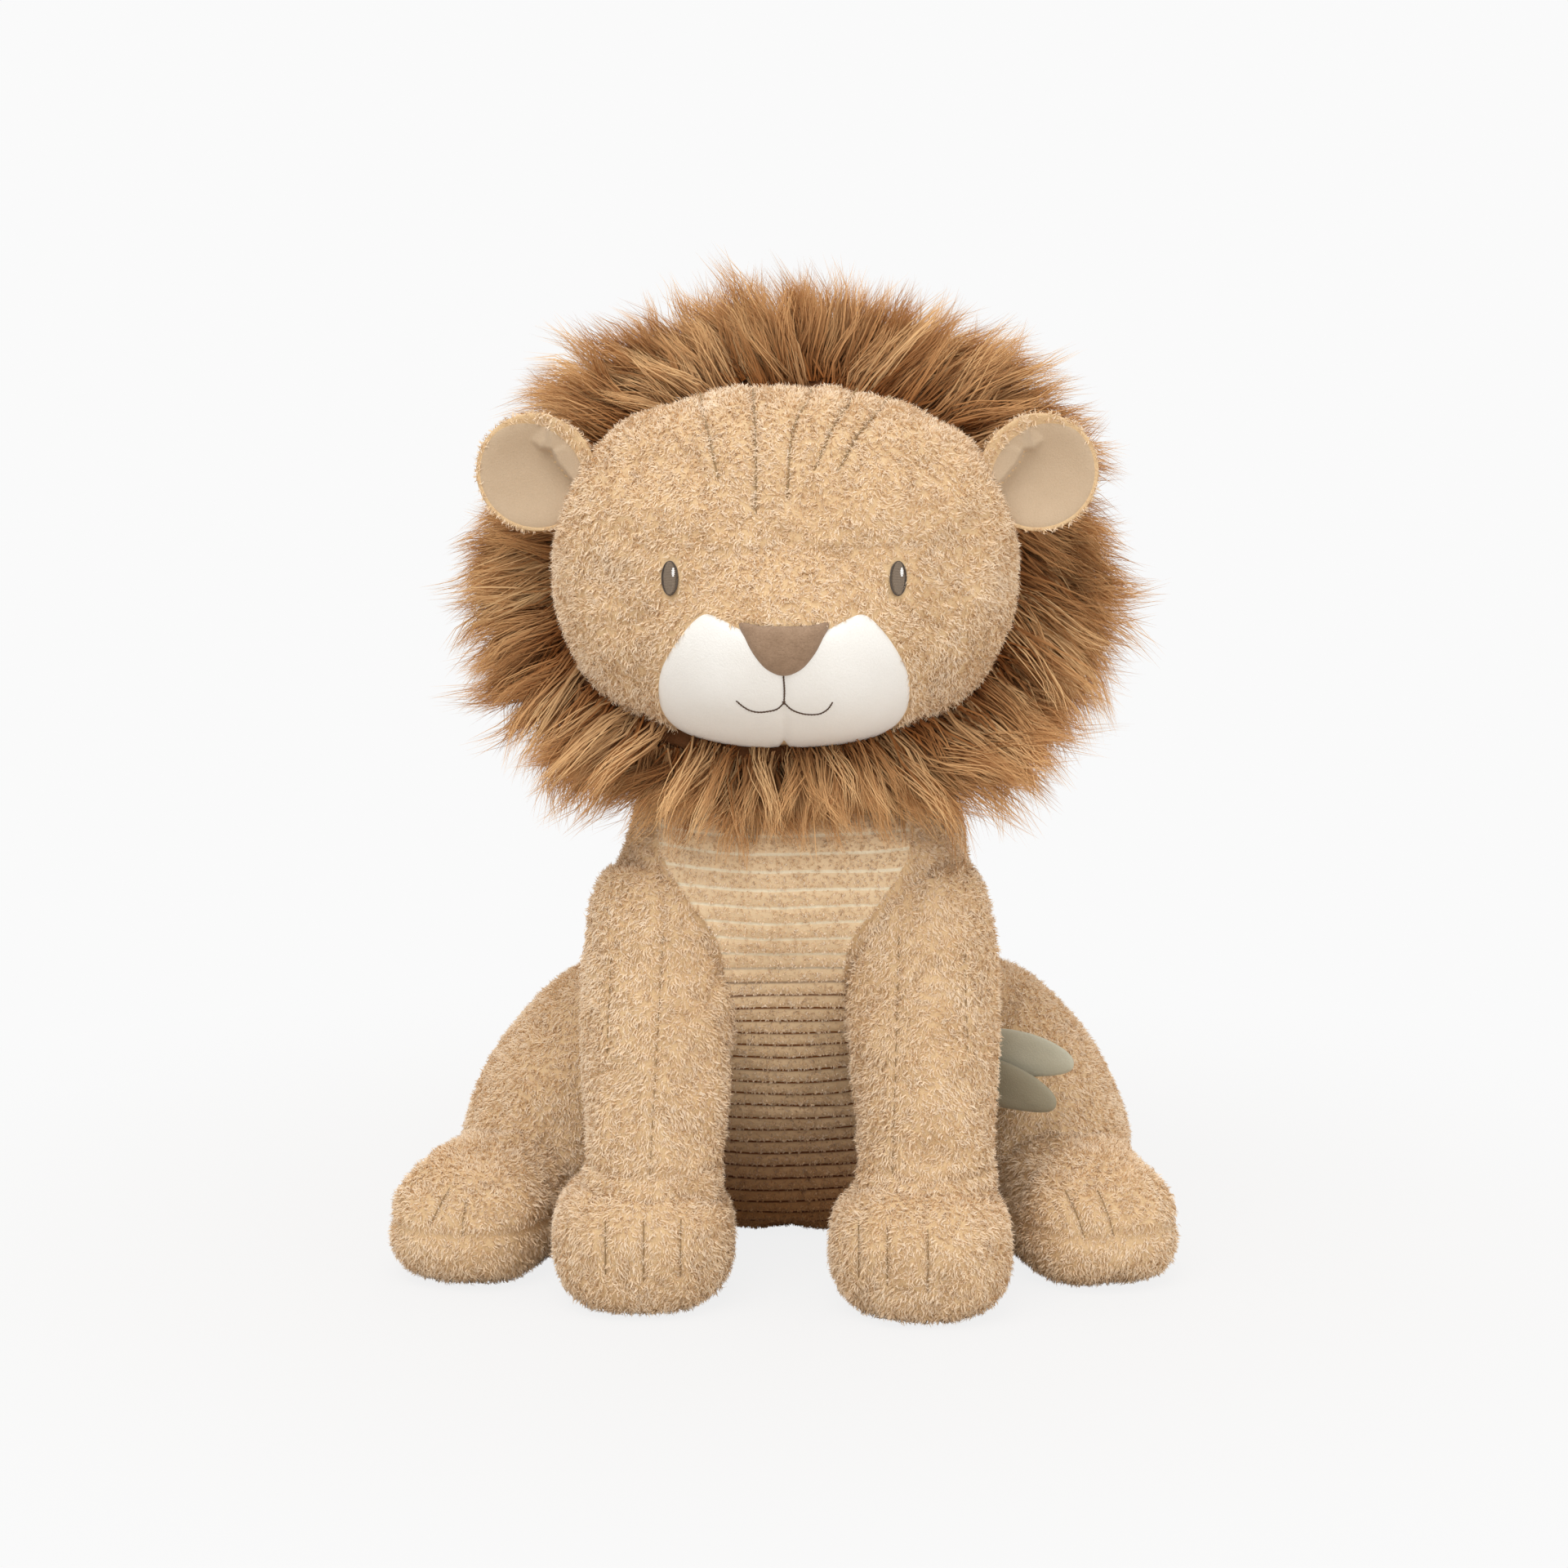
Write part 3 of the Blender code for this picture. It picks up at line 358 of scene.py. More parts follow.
def roundCage(cuts):
    # a ball of even squares, with no poles
    cage = bmesh.new()
    bmesh.ops.create_cube(cage, size=2)
    bmesh.ops.subdivide_edges(cage, edges=cage.edges, cuts=cuts, use_grid_fill=True)
    for vertex in cage.verts:
        vertex.co = Vector([math.tan(c * math.pi / 4) for c in vertex.co]).normalized()
    return cage


def makeForm(name, place, cuts):
    cage = roundCage(cuts)
    for vertex in cage.verts:
        vertex.co = place(*vertex.co)
        vertex.co.z = max(vertex.co.z, 0.0004)  # flat where it stands
    if cage.calc_volume(signed=True) < 0:
        bmesh.ops.reverse_faces(cage, faces=cage.faces)
    return makeObject(name, cage)


def makeObject(name, cage):
    mesh = bpy.data.meshes.new(name)
    cage.to_mesh(mesh)
    cage.free()
    mesh.shade_smooth()
    made = bpy.data.objects.new(name, mesh)
    scene.collection.objects.link(made)
    return made


def swellPlace(low, high, halfWidth, halfDepth, widths, depths, leans, roundness):
    def place(x, y, z):
        where = (1 + z) / 2
        centre = high.lerp(low, readShares(leans, where))
        full = fullness(where, roundness)
        around = math.hypot(x, y) or 1
        return Vector((
            centre.x + halfWidth * readShares(widths, where) * full * x / around,
            centre.y + halfDepth * readShares(depths, where) * full * y / around,
            low.z + (high.z - low.z) * where))
    return place


def padPlace(centre, halves, power, turn, topPower=None, solePower=None):
    turning = Matrix.Rotation(turn, 3, "Z")

    def place(x, y, z):
        upright = (topPower if z > 0 else solePower) or power
        level = (abs(x) ** power + abs(y) ** power) ** (upright / power)
        fit = (level + abs(z) ** upright) ** (-1 / upright)
        return centre + turning @ Vector((halves[0] * x * fit, halves[1] * y * fit, halves[2] * z * fit))
    return place


def mirrored(point, side):
    return Vector((side * point.x, point.y, point.z))


def limbPoint(limb, point, side):
    # a point of a limb on one side, moved by how far that limb strays
    return mirrored(point, side) + Vector((*stray.get((limb, side), (0, 0)), 0))


def torsoPlace():
    low, high = Vector((0, torso["seatY"], -0.0005)), Vector((0, torso["neckY"], torso["height"]))
    swell = swellPlace(low, high, torso["halfWidth"], torso["halfDepth"], torso["widths"], torso["depths"],
                       torso["leans"], torso["roundness"])

    def place(x, y, z):
        # the chest stands a little to the lion's left
        point = swell(x, y, z)
        t = min(1.0, max(0.0, (point.z - 0.16) / 0.10))
        point.x += torso["sideShift"] * t * t * (3 - 2 * t)
        return point
    return place


def faceBulge(x, z):
    # how far the muzzle and the bridge of the nose stand out
    power = head["bulgePower"]
    return sum(reach * math.exp(-(abs(x / wide) ** power) - abs((z - height) / tall) ** power) for height, wide,
               tall, reach in head["bulges"])


def headPlace(x, y, z):
    halves = head["halves"]
    outline = abs(x) ** head["outlinePower"] + abs(z) ** head["outlinePower"]
    profile = outline ** (head["profilePower"] / head["outlinePower"]) + abs(y) ** head["profilePower"]
    fit = profile ** (-1 / head["profilePower"])
    point = head["centre"] + Vector((halves[0] * x * fit, halves[1] * y * fit, halves[2] * z * fit))
    point.y -= faceBulge(point.x - head["centre"].x, point.z) * min(1.0, max(0.0, -2 * y))
    return point


def forelegPlace(side):
    top = limbPoint("foreleg", foreleg["shoulder"], side) + Vector((0, 0.004, foreleg["top"]))
    return swellPlace(limbPoint("foreleg", foreleg["ankle"], side), top, foreleg["halfWidth"], foreleg["halfDepth"],
                      foreleg["widths"], foreleg["widths"], (1, 0), foreleg["roundness"])


def thighPlace(side):
    return swellPlace(limbPoint("thigh", thigh["low"], side), limbPoint("thigh", thigh["high"], side),
                      thigh["halfWidth"], thigh["halfDepth"], thigh["widths"], thigh["depths"], thigh["leans"],
                      thigh["roundness"])


def pawMiddle(paw, side):
    return limbPoint("forepaw" if paw is forepaw else "hindPaw", paw["centre"],
                     side) + Vector((0, 0, paw["halves"][2] - 0.0005))


def pawPlace(paw, side):
    return padPlace(pawMiddle(paw, side), paw["halves"], paw["power"], side * paw["turn"], paw["topPower"],
                    paw["solePower"])


def pawLevel(paw, z):
    # how full a paw's outline is at a height from its middle
    upright = paw["topPower"] if z > 0 else paw["solePower"]
    return max(0.0, 1 - abs(z / paw["halves"][2]) ** upright) ** (paw["power"] / upright)


def headFront(x, z):
    # depth of the face at a place seen from the front
    x = x - head["centre"].x
    across = abs(x / head["halves"][0])
    above = abs((z - head["centre"].z) / head["halves"][2])
    outline = across ** head["outlinePower"] + above ** head["outlinePower"]
    deep = max(1e-6, 1 - outline ** (head["profilePower"] / head["outlinePower"])) ** (1 / head["profilePower"])
    share = deep / math.sqrt(across**2 + above**2 + deep**2)
    return head["centre"].y - head["halves"][1] * deep - faceBulge(x, z) * min(1.0, 2 * share)


def onFace(x, z, rise=0.0):
    # the point of the face at (x, z), raised along its normal
    step = 0.0005
    slopeX = (headFront(x + step, z) - headFront(x - step, z)) / (2 * step)
    slopeZ = (headFront(x, z + step) - headFront(x, z - step)) / (2 * step)
    return Vector((x, headFront(x, z), z)) + Vector((slopeX, -1, slopeZ)).normalized() * rise


def torsoSection(height):
    # middle, half width and half depth of the torso at a height
    where = (height + 0.0005) / (torso["height"] + 0.0005)
    full = fullness(where, torso["roundness"])
    lean = readShares(torso["leans"], where)
    middle = torso["neckY"] + (torso["seatY"] - torso["neckY"]) * lean
    halfWidth = torso["halfWidth"] * readShares(torso["widths"], where) * full
    return middle, halfWidth, torso["halfDepth"] * readShares(torso["depths"], where) * full


def onChest(x, z, rise=0.0):
    middle, halfWidth, halfDepth = torsoSection(z)
    return Vector((x, middle - halfDepth * math.sqrt(max(0.0, 1 - (x / halfWidth) ** 2)) - rise, z))


def onFlank(y, z):
    middle, halfWidth, halfDepth = torsoSection(z)
    return Vector((halfWidth * math.sqrt(max(0.0, 1 - ((y - middle) / halfDepth) ** 2)), y, z))


def onPaw(paw, side, x, z, rise=0.0):
    # the front of a paw, where x and z are in the paw's own turned axes from its middle
    halves, power = paw["halves"], paw["power"]
    y = -halves[1] * max(0.0, pawLevel(paw, z) - abs(x / halves[0]) ** power) ** (1 / power)
    return pawMiddle(paw, side) + Matrix.Rotation(side * paw["turn"], 3, "Z") @ Vector((x, y - rise, z))


def smoothPath(corners, count, closed=False):
    # evenly spaced points of a smooth curve through the corners
    corners = np.array(corners, float)
    total = len(corners)
    path = []
    for k in range(total if closed else total - 1):
        near = [corners[(k + j) % total] if closed else corners[min(max(k + j, 0), total - 1)]
                for j in (-1, 0, 1, 2)]
        for t in np.linspace(0, 1, 12, endpoint=False):
            ends = 2 * near[1] + (near[2] - near[0]) * t
            bend = (2 * near[0] - 5 * near[1] + 4 * near[2] - near[3]) * t**2
            path.append((ends + bend + (3 * near[1] - near[0] - 3 * near[2] + near[3]) * t**3) / 2)
    path.append(corners[0] if closed else corners[-1])
    path = np.array(path)
    reached = np.r_[0, np.cumsum(np.linalg.norm(np.diff(path, axis=0), axis=1))]
    wanted = np.linspace(0, reached[-1], count, endpoint=not closed)
    return np.stack([np.interp(wanted, reached, path[:, k]) for k in range(path.shape[1])], 1)


def readVertices(piece):
    places = np.empty(len(piece.data.vertices) * 3, np.float32)
    piece.data.vertices.foreach_get("co", places)
    return places.reshape(-1, 3)


def readNormals(piece):
    normals = np.empty(len(piece.data.vertices) * 3, np.float32)
    piece.data.vertices.foreach_get("normal", normals)
    return normals.reshape(-1, 3)


def writeVertices(piece, places):
    piece.data.vertices.foreach_set("co", np.asarray(places, np.float32).ravel())
    piece.data.update()


def treeOf(piece):
    return BVHTree.FromPolygons([v.co.copy() for v in piece.data.vertices],
                                [tuple(p.vertices) for p in piece.data.polygons])


def signedDistances(places, tree, reach=0.05):
    # distance of each point to a closed form, below zero inside it
    found = np.full(len(places), reach)
    for k, point in enumerate(places):
        near, normal, _, distance = tree.find_nearest(Vector(point), reach)
        if near is not None:
            found[k] = distance if (Vector(point) - near).dot(normal) >= 0 else -distance
        elif tree.find_nearest(Vector(point))[0] is not None:
            near, normal, _, distance = tree.find_nearest(Vector(point))
            found[k] = reach if (Vector(point) - near).dot(normal) >= 0 else -reach
    return found


def lineDistances(places, lines):
    # distance of each point to the nearest of several polylines
    nearest = np.full(len(places), 1.0)
    for line in lines:
        for start, end in zip(line, line[1:]):
            start, end = np.array(start), np.array(end)
            along = end - start
            t = np.clip((places - start) @ along / max(along @ along, 1e-12), 0, 1)
            nearest = np.minimum(nearest, np.linalg.norm(places - start - t[:, None] * along, axis=1))
    return nearest


def setField(piece, name, values):
    values = np.asarray(values, np.float32)
    kind = "FLOAT_VECTOR" if values.ndim == 2 else "FLOAT"
    field = piece.data.attributes.get(name) or piece.data.attributes.new(name, kind, "POINT")
    field.data.foreach_set("vector" if values.ndim == 2 else "value", values.ravel())


torsoSkin = makeForm("torsoSkin", torsoPlace(), torso["cuts"])
headSkin = makeForm("headSkin", headPlace, head["cuts"])
limbs = {}
for side, sideName in sides:
    limbs[f"foreleg_{sideName}"] = makeForm(f"forelegSkin_{sideName}", forelegPlace(side), foreleg["cuts"])
    limbs[f"forepaw_{sideName}"] = makeForm(f"forepawSkin_{sideName}", pawPlace(forepaw, side), forepaw["cuts"])
    limbs[f"thigh_{sideName}"] = makeForm(f"thighSkin_{sideName}", thighPlace(side), thigh["cuts"])
    limbs[f"hind_paw_{sideName}"] = makeForm(f"hindPawSkin_{sideName}", pawPlace(hindPaw, side), hindPaw["cuts"])
print("soft forms made")


def softMeet(piece, others, radius):
    # fills the corner where a form meets others, as stretched plush does
    places, normals = readVertices(piece), readNormals(piece)
    for tree in others:
        distances = signedDistances(places, tree, radius)
        swell = np.clip(radius - np.abs(distances), 0, radius) ** 2 / (4 * radius)
        swell[distances < 0] = radius / 4 * np.clip(1 + distances[distances < 0] / radius, 0, 1)
        places = places + normals * swell[:, None]
    places[:, 2] = np.maximum(places[:, 2], 0.0004)
    writeVertices(piece, places)


trees = {name: treeOf(piece) for name, piece in limbs.items()}
trees["torso"], trees["head"] = treeOf(torsoSkin), treeOf(headSkin)
for side, sideName in sides:
    softMeet(limbs[f"foreleg_{sideName}"], [trees["torso"]], 0.030)
    softMeet(limbs[f"foreleg_{sideName}"], [trees[f"forepaw_{sideName}"]], 0.012)
    softMeet(limbs[f"thigh_{sideName}"], [trees["torso"]], 0.012)
    softMeet(limbs[f"thigh_{sideName}"], [trees[f"hind_paw_{sideName}"]], 0.024)
    softMeet(limbs[f"hind_paw_{sideName}"], [trees[f"thigh_{sideName}"]], 0.024)
softMeet(torsoSkin, [trees["foreleg_left"], trees["foreleg_right"]], 0.030)
print("forms fitted together")


mm = 0.001
seams = {
    "forehead": [[(-48.1, 522), (-43.0, 506.3), (-37.3, 483.3)], [(-17.7, 525), (-15.9, 498.0), (-15.9, 465.5)],
                 [(15.8, 525), (5.0, 507.7), (1.8, 473.4)], [(40.9, 524), (28.4, 510.6), (17.7, 488.6)],
                 [(59.8, 520), (43.4, 507.1), (30.9, 487.6)]],
    "bridge": [[(-86, 401), (-67, 411), (-47, 428), (-27.2, 440.3), (0.0, 444.8), (27.2, 440.3), (49, 428),
                (68, 410), (87, 399)]],
    # x of the line down each foreleg at its lower and upper end
    "legs": {1: (62.2, 67.0), -1: (-76.8, -68.3)},
    # lower end and upper end of each, as x and z from the paw's middle
    "foretoes": {1: [(-37, -6, -37, 20), (-21, -8, -21, 21), (2, -12, 2, 20)],
                 -1: [(20, -6, 20, 20), (-2, -10, -2, 21), (-23, -8, -23, 20)]},
    "hindtoes": {1: [(-21, 2, -26, 23), (-4, 4, -8, 23)], -1: [(-8, 3, -8, 19), (11, 7, 5, 23)]},
    "soleHeight": 36, "depth": 2.4, "width": 3.0,
}


def pressLines(piece, lines, depth, width):
    # a sewn line draws the cover in
    if not lines:
        return
    places, normals = readVertices(piece), readNormals(piece)
    near = lineDistances(places, lines)
    places = places - normals * (depth * np.exp(-((near / width) ** 2)))[:, None]
    places[:, 2] = np.maximum(places[:, 2], 0.0004)
    writeVertices(piece, places)


def facePath(corners, rise=0.0, count=30):
    return [onFace(x * mm, z * mm, rise) for x, z in smoothPath(corners, count)]


foreheadLines = [facePath(line) for line in seams["forehead"]]
bridgeLines = [facePath(line) for line in seams["bridge"]]
pressLines(headSkin, foreheadLines, seams["depth"] * mm, seams["width"] * mm)
pressLines(headSkin, bridgeLines, 2.0 * mm, 4 * mm)
skinLines = {"head": foreheadLines}


def toeLines(paw, side, ends):
    return [[onPaw(paw, side, side * x * mm, z * mm) for x, z in np.linspace(line[:2], line[2:], 12)]
            for line in ends]


for side, sideName in sides:
    toes = toeLines(forepaw, side, seams["foretoes"][side])
    skinLines[f"forepaw_{sideName}"] = toes
    pressLines(limbs[f"forepaw_{sideName}"], toes, 2.4 * mm, 2.6 * mm)
    toes = toeLines(hindPaw, side, seams["hindtoes"][side])
    turning = Matrix.Rotation(side * hindPaw["turn"], 3, "Z")
    level = seams["soleHeight"] * mm - hindPaw["halves"][2]
    sole = []
    for k in range(61):
        angle = math.tau * k / 60
        x, y = math.cos(angle), math.sin(angle)
        around = abs(x) ** hindPaw["power"] + abs(y) ** hindPaw["power"]
        fit = (pawLevel(hindPaw, level) / around) ** (1 / hindPaw["power"])
        middle = pawMiddle(hindPaw, side) + Vector((0, 0, level))
        sole.append(middle + turning @ Vector((hindPaw["halves"][0] * x * fit, hindPaw["halves"][1] * y * fit, 0)))
    skinLines[f"hind_paw_{sideName}"] = [*toes, sole]
    pressLines(limbs[f"hind_paw_{sideName}"], toes, 2.4 * mm, 2.6 * mm)
    pressLines(limbs[f"hind_paw_{sideName}"], [sole], 1.0 * mm, 3 * mm)
    low, high = seams["legs"][side]
    front = [[(low + (high - low) * t) * mm, -1, 0.085 + 0.155 * t] for t in np.linspace(0, 1, 18)]
    outer = [Vector((side * 0.101, stance - 0.117 - 0.026 + 0.25 * max(0, z - 0.05), z))
             for z in np.linspace(0.150, 0.200, 8)]
    tree = treeOf(limbs[f"foreleg_{sideName}"])
    ankle = limbPoint("foreleg", Vector((0.0798, stance - 0.109, 0.083)), side)
    around = [ankle + Vector((0.05 * math.cos(math.tau * k / 40), 0.05 * math.sin(math.tau * k / 40), 0))
              for k in range(41)]
    pressLines(limbs[f"foreleg_{sideName}"], [[tree.find_nearest(p)[0] for p in around]], 1.6 * mm, 4 * mm)
    skinLines[f"foreleg_{sideName}"] = [[tree.ray_cast(Vector(p), Vector((0, 1, 0)))[0] for p in front],
                                        [tree.find_nearest(p)[0] for p in outer]]
    pressLines(limbs[f"foreleg_{sideName}"], skinLines[f"foreleg_{sideName}"], 2.0 * mm, 3.2 * mm)
print("seams pressed")


stuffing = {
    "pressure": 4.0, "mass": 0.3, "stiffness": 15.0, "bending": 0.5, "ease": 0.03, "quality": 4, "frames": 20,
    "furthest": 0.003, "hold": 0.004,
}


def settle(pieces):
    # blows the stuffed covers up in a cloth simulation: each is held where it is sewn and its stuffing presses outward
    before = {}
    for piece, held in pieces:
        before[piece.name] = readVertices(piece)
        piece.vertex_groups.new(name="held").add([int(k) for k in np.flatnonzero(held)], 1.0, "REPLACE")
        cover = piece.modifiers.new("cover", "CLOTH")
        cloth = cover.settings
        cloth.quality = stuffing["quality"]
        cloth.mass = stuffing["mass"]
        cloth.tension_stiffness = cloth.compression_stiffness = stuffing["stiffness"]
        cloth.shear_stiffness = stuffing["stiffness"]
        cloth.bending_stiffness = stuffing["bending"]
        cloth.shrink_min = -stuffing["ease"]
        cloth.use_pressure = True
        cloth.uniform_pressure_force = stuffing["pressure"]
        cloth.vertex_group_mass = "held"
        cloth.effector_weights.gravity = 0
        cover.point_cache.frame_start, cover.point_cache.frame_end = 1, stuffing["frames"]
    for frame in range(1, stuffing["frames"] + 1):
        scene.frame_set(frame)
    view = bpy.context.evaluated_depsgraph_get()
    for piece, held in pieces:
        settled = piece.evaluated_get(view).to_mesh()
        places = np.empty(len(settled.vertices) * 3, np.float32)
        settled.vertices.foreach_get("co", places)
        moved = places.reshape(-1, 3) - before[piece.name]
        size = np.linalg.norm(moved, axis=1)
        moved *= np.minimum(1, stuffing["furthest"] / np.maximum(size, 1e-9))[:, None]
        piece.evaluated_get(view).to_mesh_clear()
        print(piece.name, "moved", round(float(size.mean()) * 1000, 2), "mm, at most",
              round(float(size.max()) * 1000, 2))
        places = before[piece.name] + moved
        places[:, 2] = np.maximum(places[:, 2], 0.0004)
        piece.modifiers.clear()
        piece.vertex_groups.clear()
        writeVertices(piece, places)
    scene.frame_set(1)


def heldAt(piece, lines, treeNames=()):
    # true where a cover is sewn, hidden in its neighbour or flat on the ground
    places = readVertices(piece)
    held = places[:, 2] < 0.002
    if lines:
        held |= lineDistances(places, lines) < stuffing["hold"]
    for name in treeNames:
        held |= signedDistances(places, trees[name], 0.02) < 0
    return held


panelEdges = [[onChest(side * x * mm, z * mm) for x, z in ((40, 180), (37, 215), (56, 238), (70, 261), (70, 284))]
              for side in (1, -1)]
places = readVertices(torsoSkin)
sewnChest = (places[:, 1] < torso["neckY"]) & (np.abs(places[:, 0]) < 0.074)
covers = [(torsoSkin, heldAt(torsoSkin, panelEdges, ["foreleg_left", "foreleg_right", "thigh_left",
                                                     "thigh_right"]) | sewnChest)]
places = readVertices(headSkin)
sewnFace = (places[:, 1] < head["centre"].y) & (np.abs(places[:, 0]) < 0.080) & (places[:, 2] < 0.446)
covers.append((headSkin, heldAt(headSkin, foreheadLines) | sewnFace | (places[:, 1] > head["centre"].y + 0.03)))
for _, sideName in sides:
    neighbours = {"foreleg": ["torso", f"forepaw_{sideName}"], "forepaw": [f"foreleg_{sideName}"],
                  "thigh": ["torso", f"hind_paw_{sideName}"], "hind_paw": [f"thigh_{sideName}"]}
    for limb, treeNames in neighbours.items():
        name = f"{limb}_{sideName}"
        covers.append((limbs[name], heldAt(limbs[name], skinLines.get(name, []), treeNames)))
settle(covers)
print("covers settled")


def makePileTree():
    # Tufts scattered over a skin, leaning along its flow, each with its own tone.
    tree, given, out = newGroup(
        "plantPile", "GeometryNodeTree",
        [("Geometry", "NodeSocketGeometry"), ("Density", "NodeSocketFloat"), ("Lift", "NodeSocketFloat"),
         ("Lean", "NodeSocketFloat"), ("Scatter", "NodeSocketFloat"), ("Roll", "NodeSocketFloat"),
         ("Smallest", "NodeSocketFloat"), ("Largest", "NodeSocketFloat"), ("Patch Scale", "NodeSocketFloat"),
         ("Patch Share", "NodeSocketFloat"), ("Seed", "NodeSocketInt"), ("Tufts", "NodeSocketCollection"),
         ("Finish", "NodeSocketMaterial"), ("Clear", "NodeSocketObject"), ("Parting", "NodeSocketFloat")],
        [("Geometry", "NodeSocketGeometry")])

    def field(name, kind):
        return addNode(tree, "GeometryNodeInputNamedAttribute", {"Name": name}, data_type=kind).outputs["Attribute"]

    def chance(kind, low, high, shift):
        seed = plainMath(tree, "ADD", given["Seed"], float(shift))
        made = addNode(tree, "FunctionNodeRandomValue", data_type=kind)
        lowSlot, highSlot = {"FLOAT_VECTOR": (0, 1), "FLOAT": (2, 3), "INT": (4, 5)}[kind]
        for slotIndex, value in ((lowSlot, low), (highSlot, high)):
            if isinstance(value, bpy.types.NodeSocket):
                tree.links.new(value, made.inputs[slotIndex])
            else:
                made.inputs[slotIndex].default_value = value
        tree.links.new(seed, made.inputs["Seed"])
        return made.outputs[{"FLOAT_VECTOR": 0, "FLOAT": 1, "INT": 2}[kind]]

    cover = plainMath(tree, "SUBTRACT", 1.0, field("bare", "FLOAT"), clamp=True)
    density = plainMath(tree, "MULTIPLY", given["Density"], cover)
    planted = addNode(tree, "GeometryNodeDistributePointsOnFaces",
                      {"Mesh": given["Geometry"], "Density": density, "Seed": given["Seed"]},
                      distribute_method="RANDOM")
    clear = addNode(tree, "GeometryNodeObjectInfo", {"Object": given["Clear"]}).outputs["Geometry"]
    away = addNode(tree, "GeometryNodeProximity", {0: clear}, target_element="FACES").outputs["Distance"]
    near = addNode(tree, "FunctionNodeCompare", {0: away, 1: given["Parting"]}, data_type="FLOAT",
                   operation="LESS_THAN")
    kept = addNode(tree, "GeometryNodeDeleteGeometry", {"Geometry": planted.outputs["Points"],
                                                        "Selection": near.outputs[0]}, domain="POINT")
    normal = planted.outputs["Normal"]
    flow = field("flow", "FLOAT_VECTOR")
    across = vectorMath(tree, "SUBTRACT", flow, vectorMath(tree, "SCALE", normal,
                                                           vectorMath(tree, "DOT_PRODUCT", flow, normal)))
    standing = vectorMath(tree, "SCALE", normal, given["Lift"])
    leaning = vectorMath(tree, "SCALE", across, given["Lean"])
    strewn = vectorMath(tree, "SCALE", chance("FLOAT_VECTOR", (-1, -1, -1), (1, 1, 1), 1), given["Scatter"])
    aim = vectorMath(tree, "NORMALIZE", vectorMath(tree, "ADD", vectorMath(tree, "ADD", standing, leaning), strewn))
    rolled = vectorMath(tree, "SCALE", chance("FLOAT_VECTOR", (-1, -1, -1), (1, 1, 1), 2), given["Roll"])
    edge = vectorMath(tree, "ADD", vectorMath(tree, "CROSS_PRODUCT", aim, normal), rolled)
    turned = addNode(tree, "FunctionNodeAxesToRotation", {0: aim, 1: edge}, primary_axis="Z",
                     secondary_axis="X").outputs[0]
    size = plainMath(tree, "MULTIPLY", chance("FLOAT", given["Smallest"], given["Largest"], 3),
                     field("lengthShare", "FLOAT"))
    tufts = addNode(tree, "GeometryNodeCollectionInfo", {"Collection": given["Tufts"], "Separate Children": True,
                                                         "Reset Children": True})
    placed = addNode(tree, "GeometryNodeInstanceOnPoints", {
        "Points": kept.outputs[0], "Instance": tufts.outputs[0], "Pick Instance": True,
        "Instance Index": chance("INT", 0, 99, 4), "Rotation": turned, "Scale": size})
    patch = addNode(tree, "ShaderNodeTexNoise", {"Scale": given["Patch Scale"], "Detail": 2.0}).outputs["Fac"]
    patch = plainMath(tree, "MULTIPLY", plainMath(tree, "SUBTRACT", patch, 0.5), given["Patch Share"])
    tone = plainMath(tree, "ADD", chance("FLOAT", 0.1, 0.9, 5), patch, clamp=True)
    toned = addNode(tree, "GeometryNodeStoreNamedAttribute",
                    {"Geometry": placed.outputs[0], "Name": "tone", "Value": tone},
                    data_type="FLOAT", domain="INSTANCE")
    real = addNode(tree, "GeometryNodeRealizeInstances", {0: toned.outputs[0]})
    along = addNode(tree, "ShaderNodeSeparateXYZ", {0: field("OFBake", "FLOAT_VECTOR")}).outputs["Y"]
    spot = addNode(tree, "ShaderNodeCombineXYZ", {"X": field("tone", "FLOAT"), "Y": along}).outputs[0]
    mapped = addNode(tree, "GeometryNodeStoreNamedAttribute",
                     {"Geometry": real.outputs[0], "Name": "OFBake", "Value": spot},
                     data_type="FLOAT2", domain="CORNER")
    finished = addNode(tree, "GeometryNodeSetMaterial", {"Geometry": mapped.outputs[0],
                                                         "Material": given["Finish"]})
    tree.links.new(finished.outputs[0], out["Geometry"])
    return tree


pileTree = makePileTree()


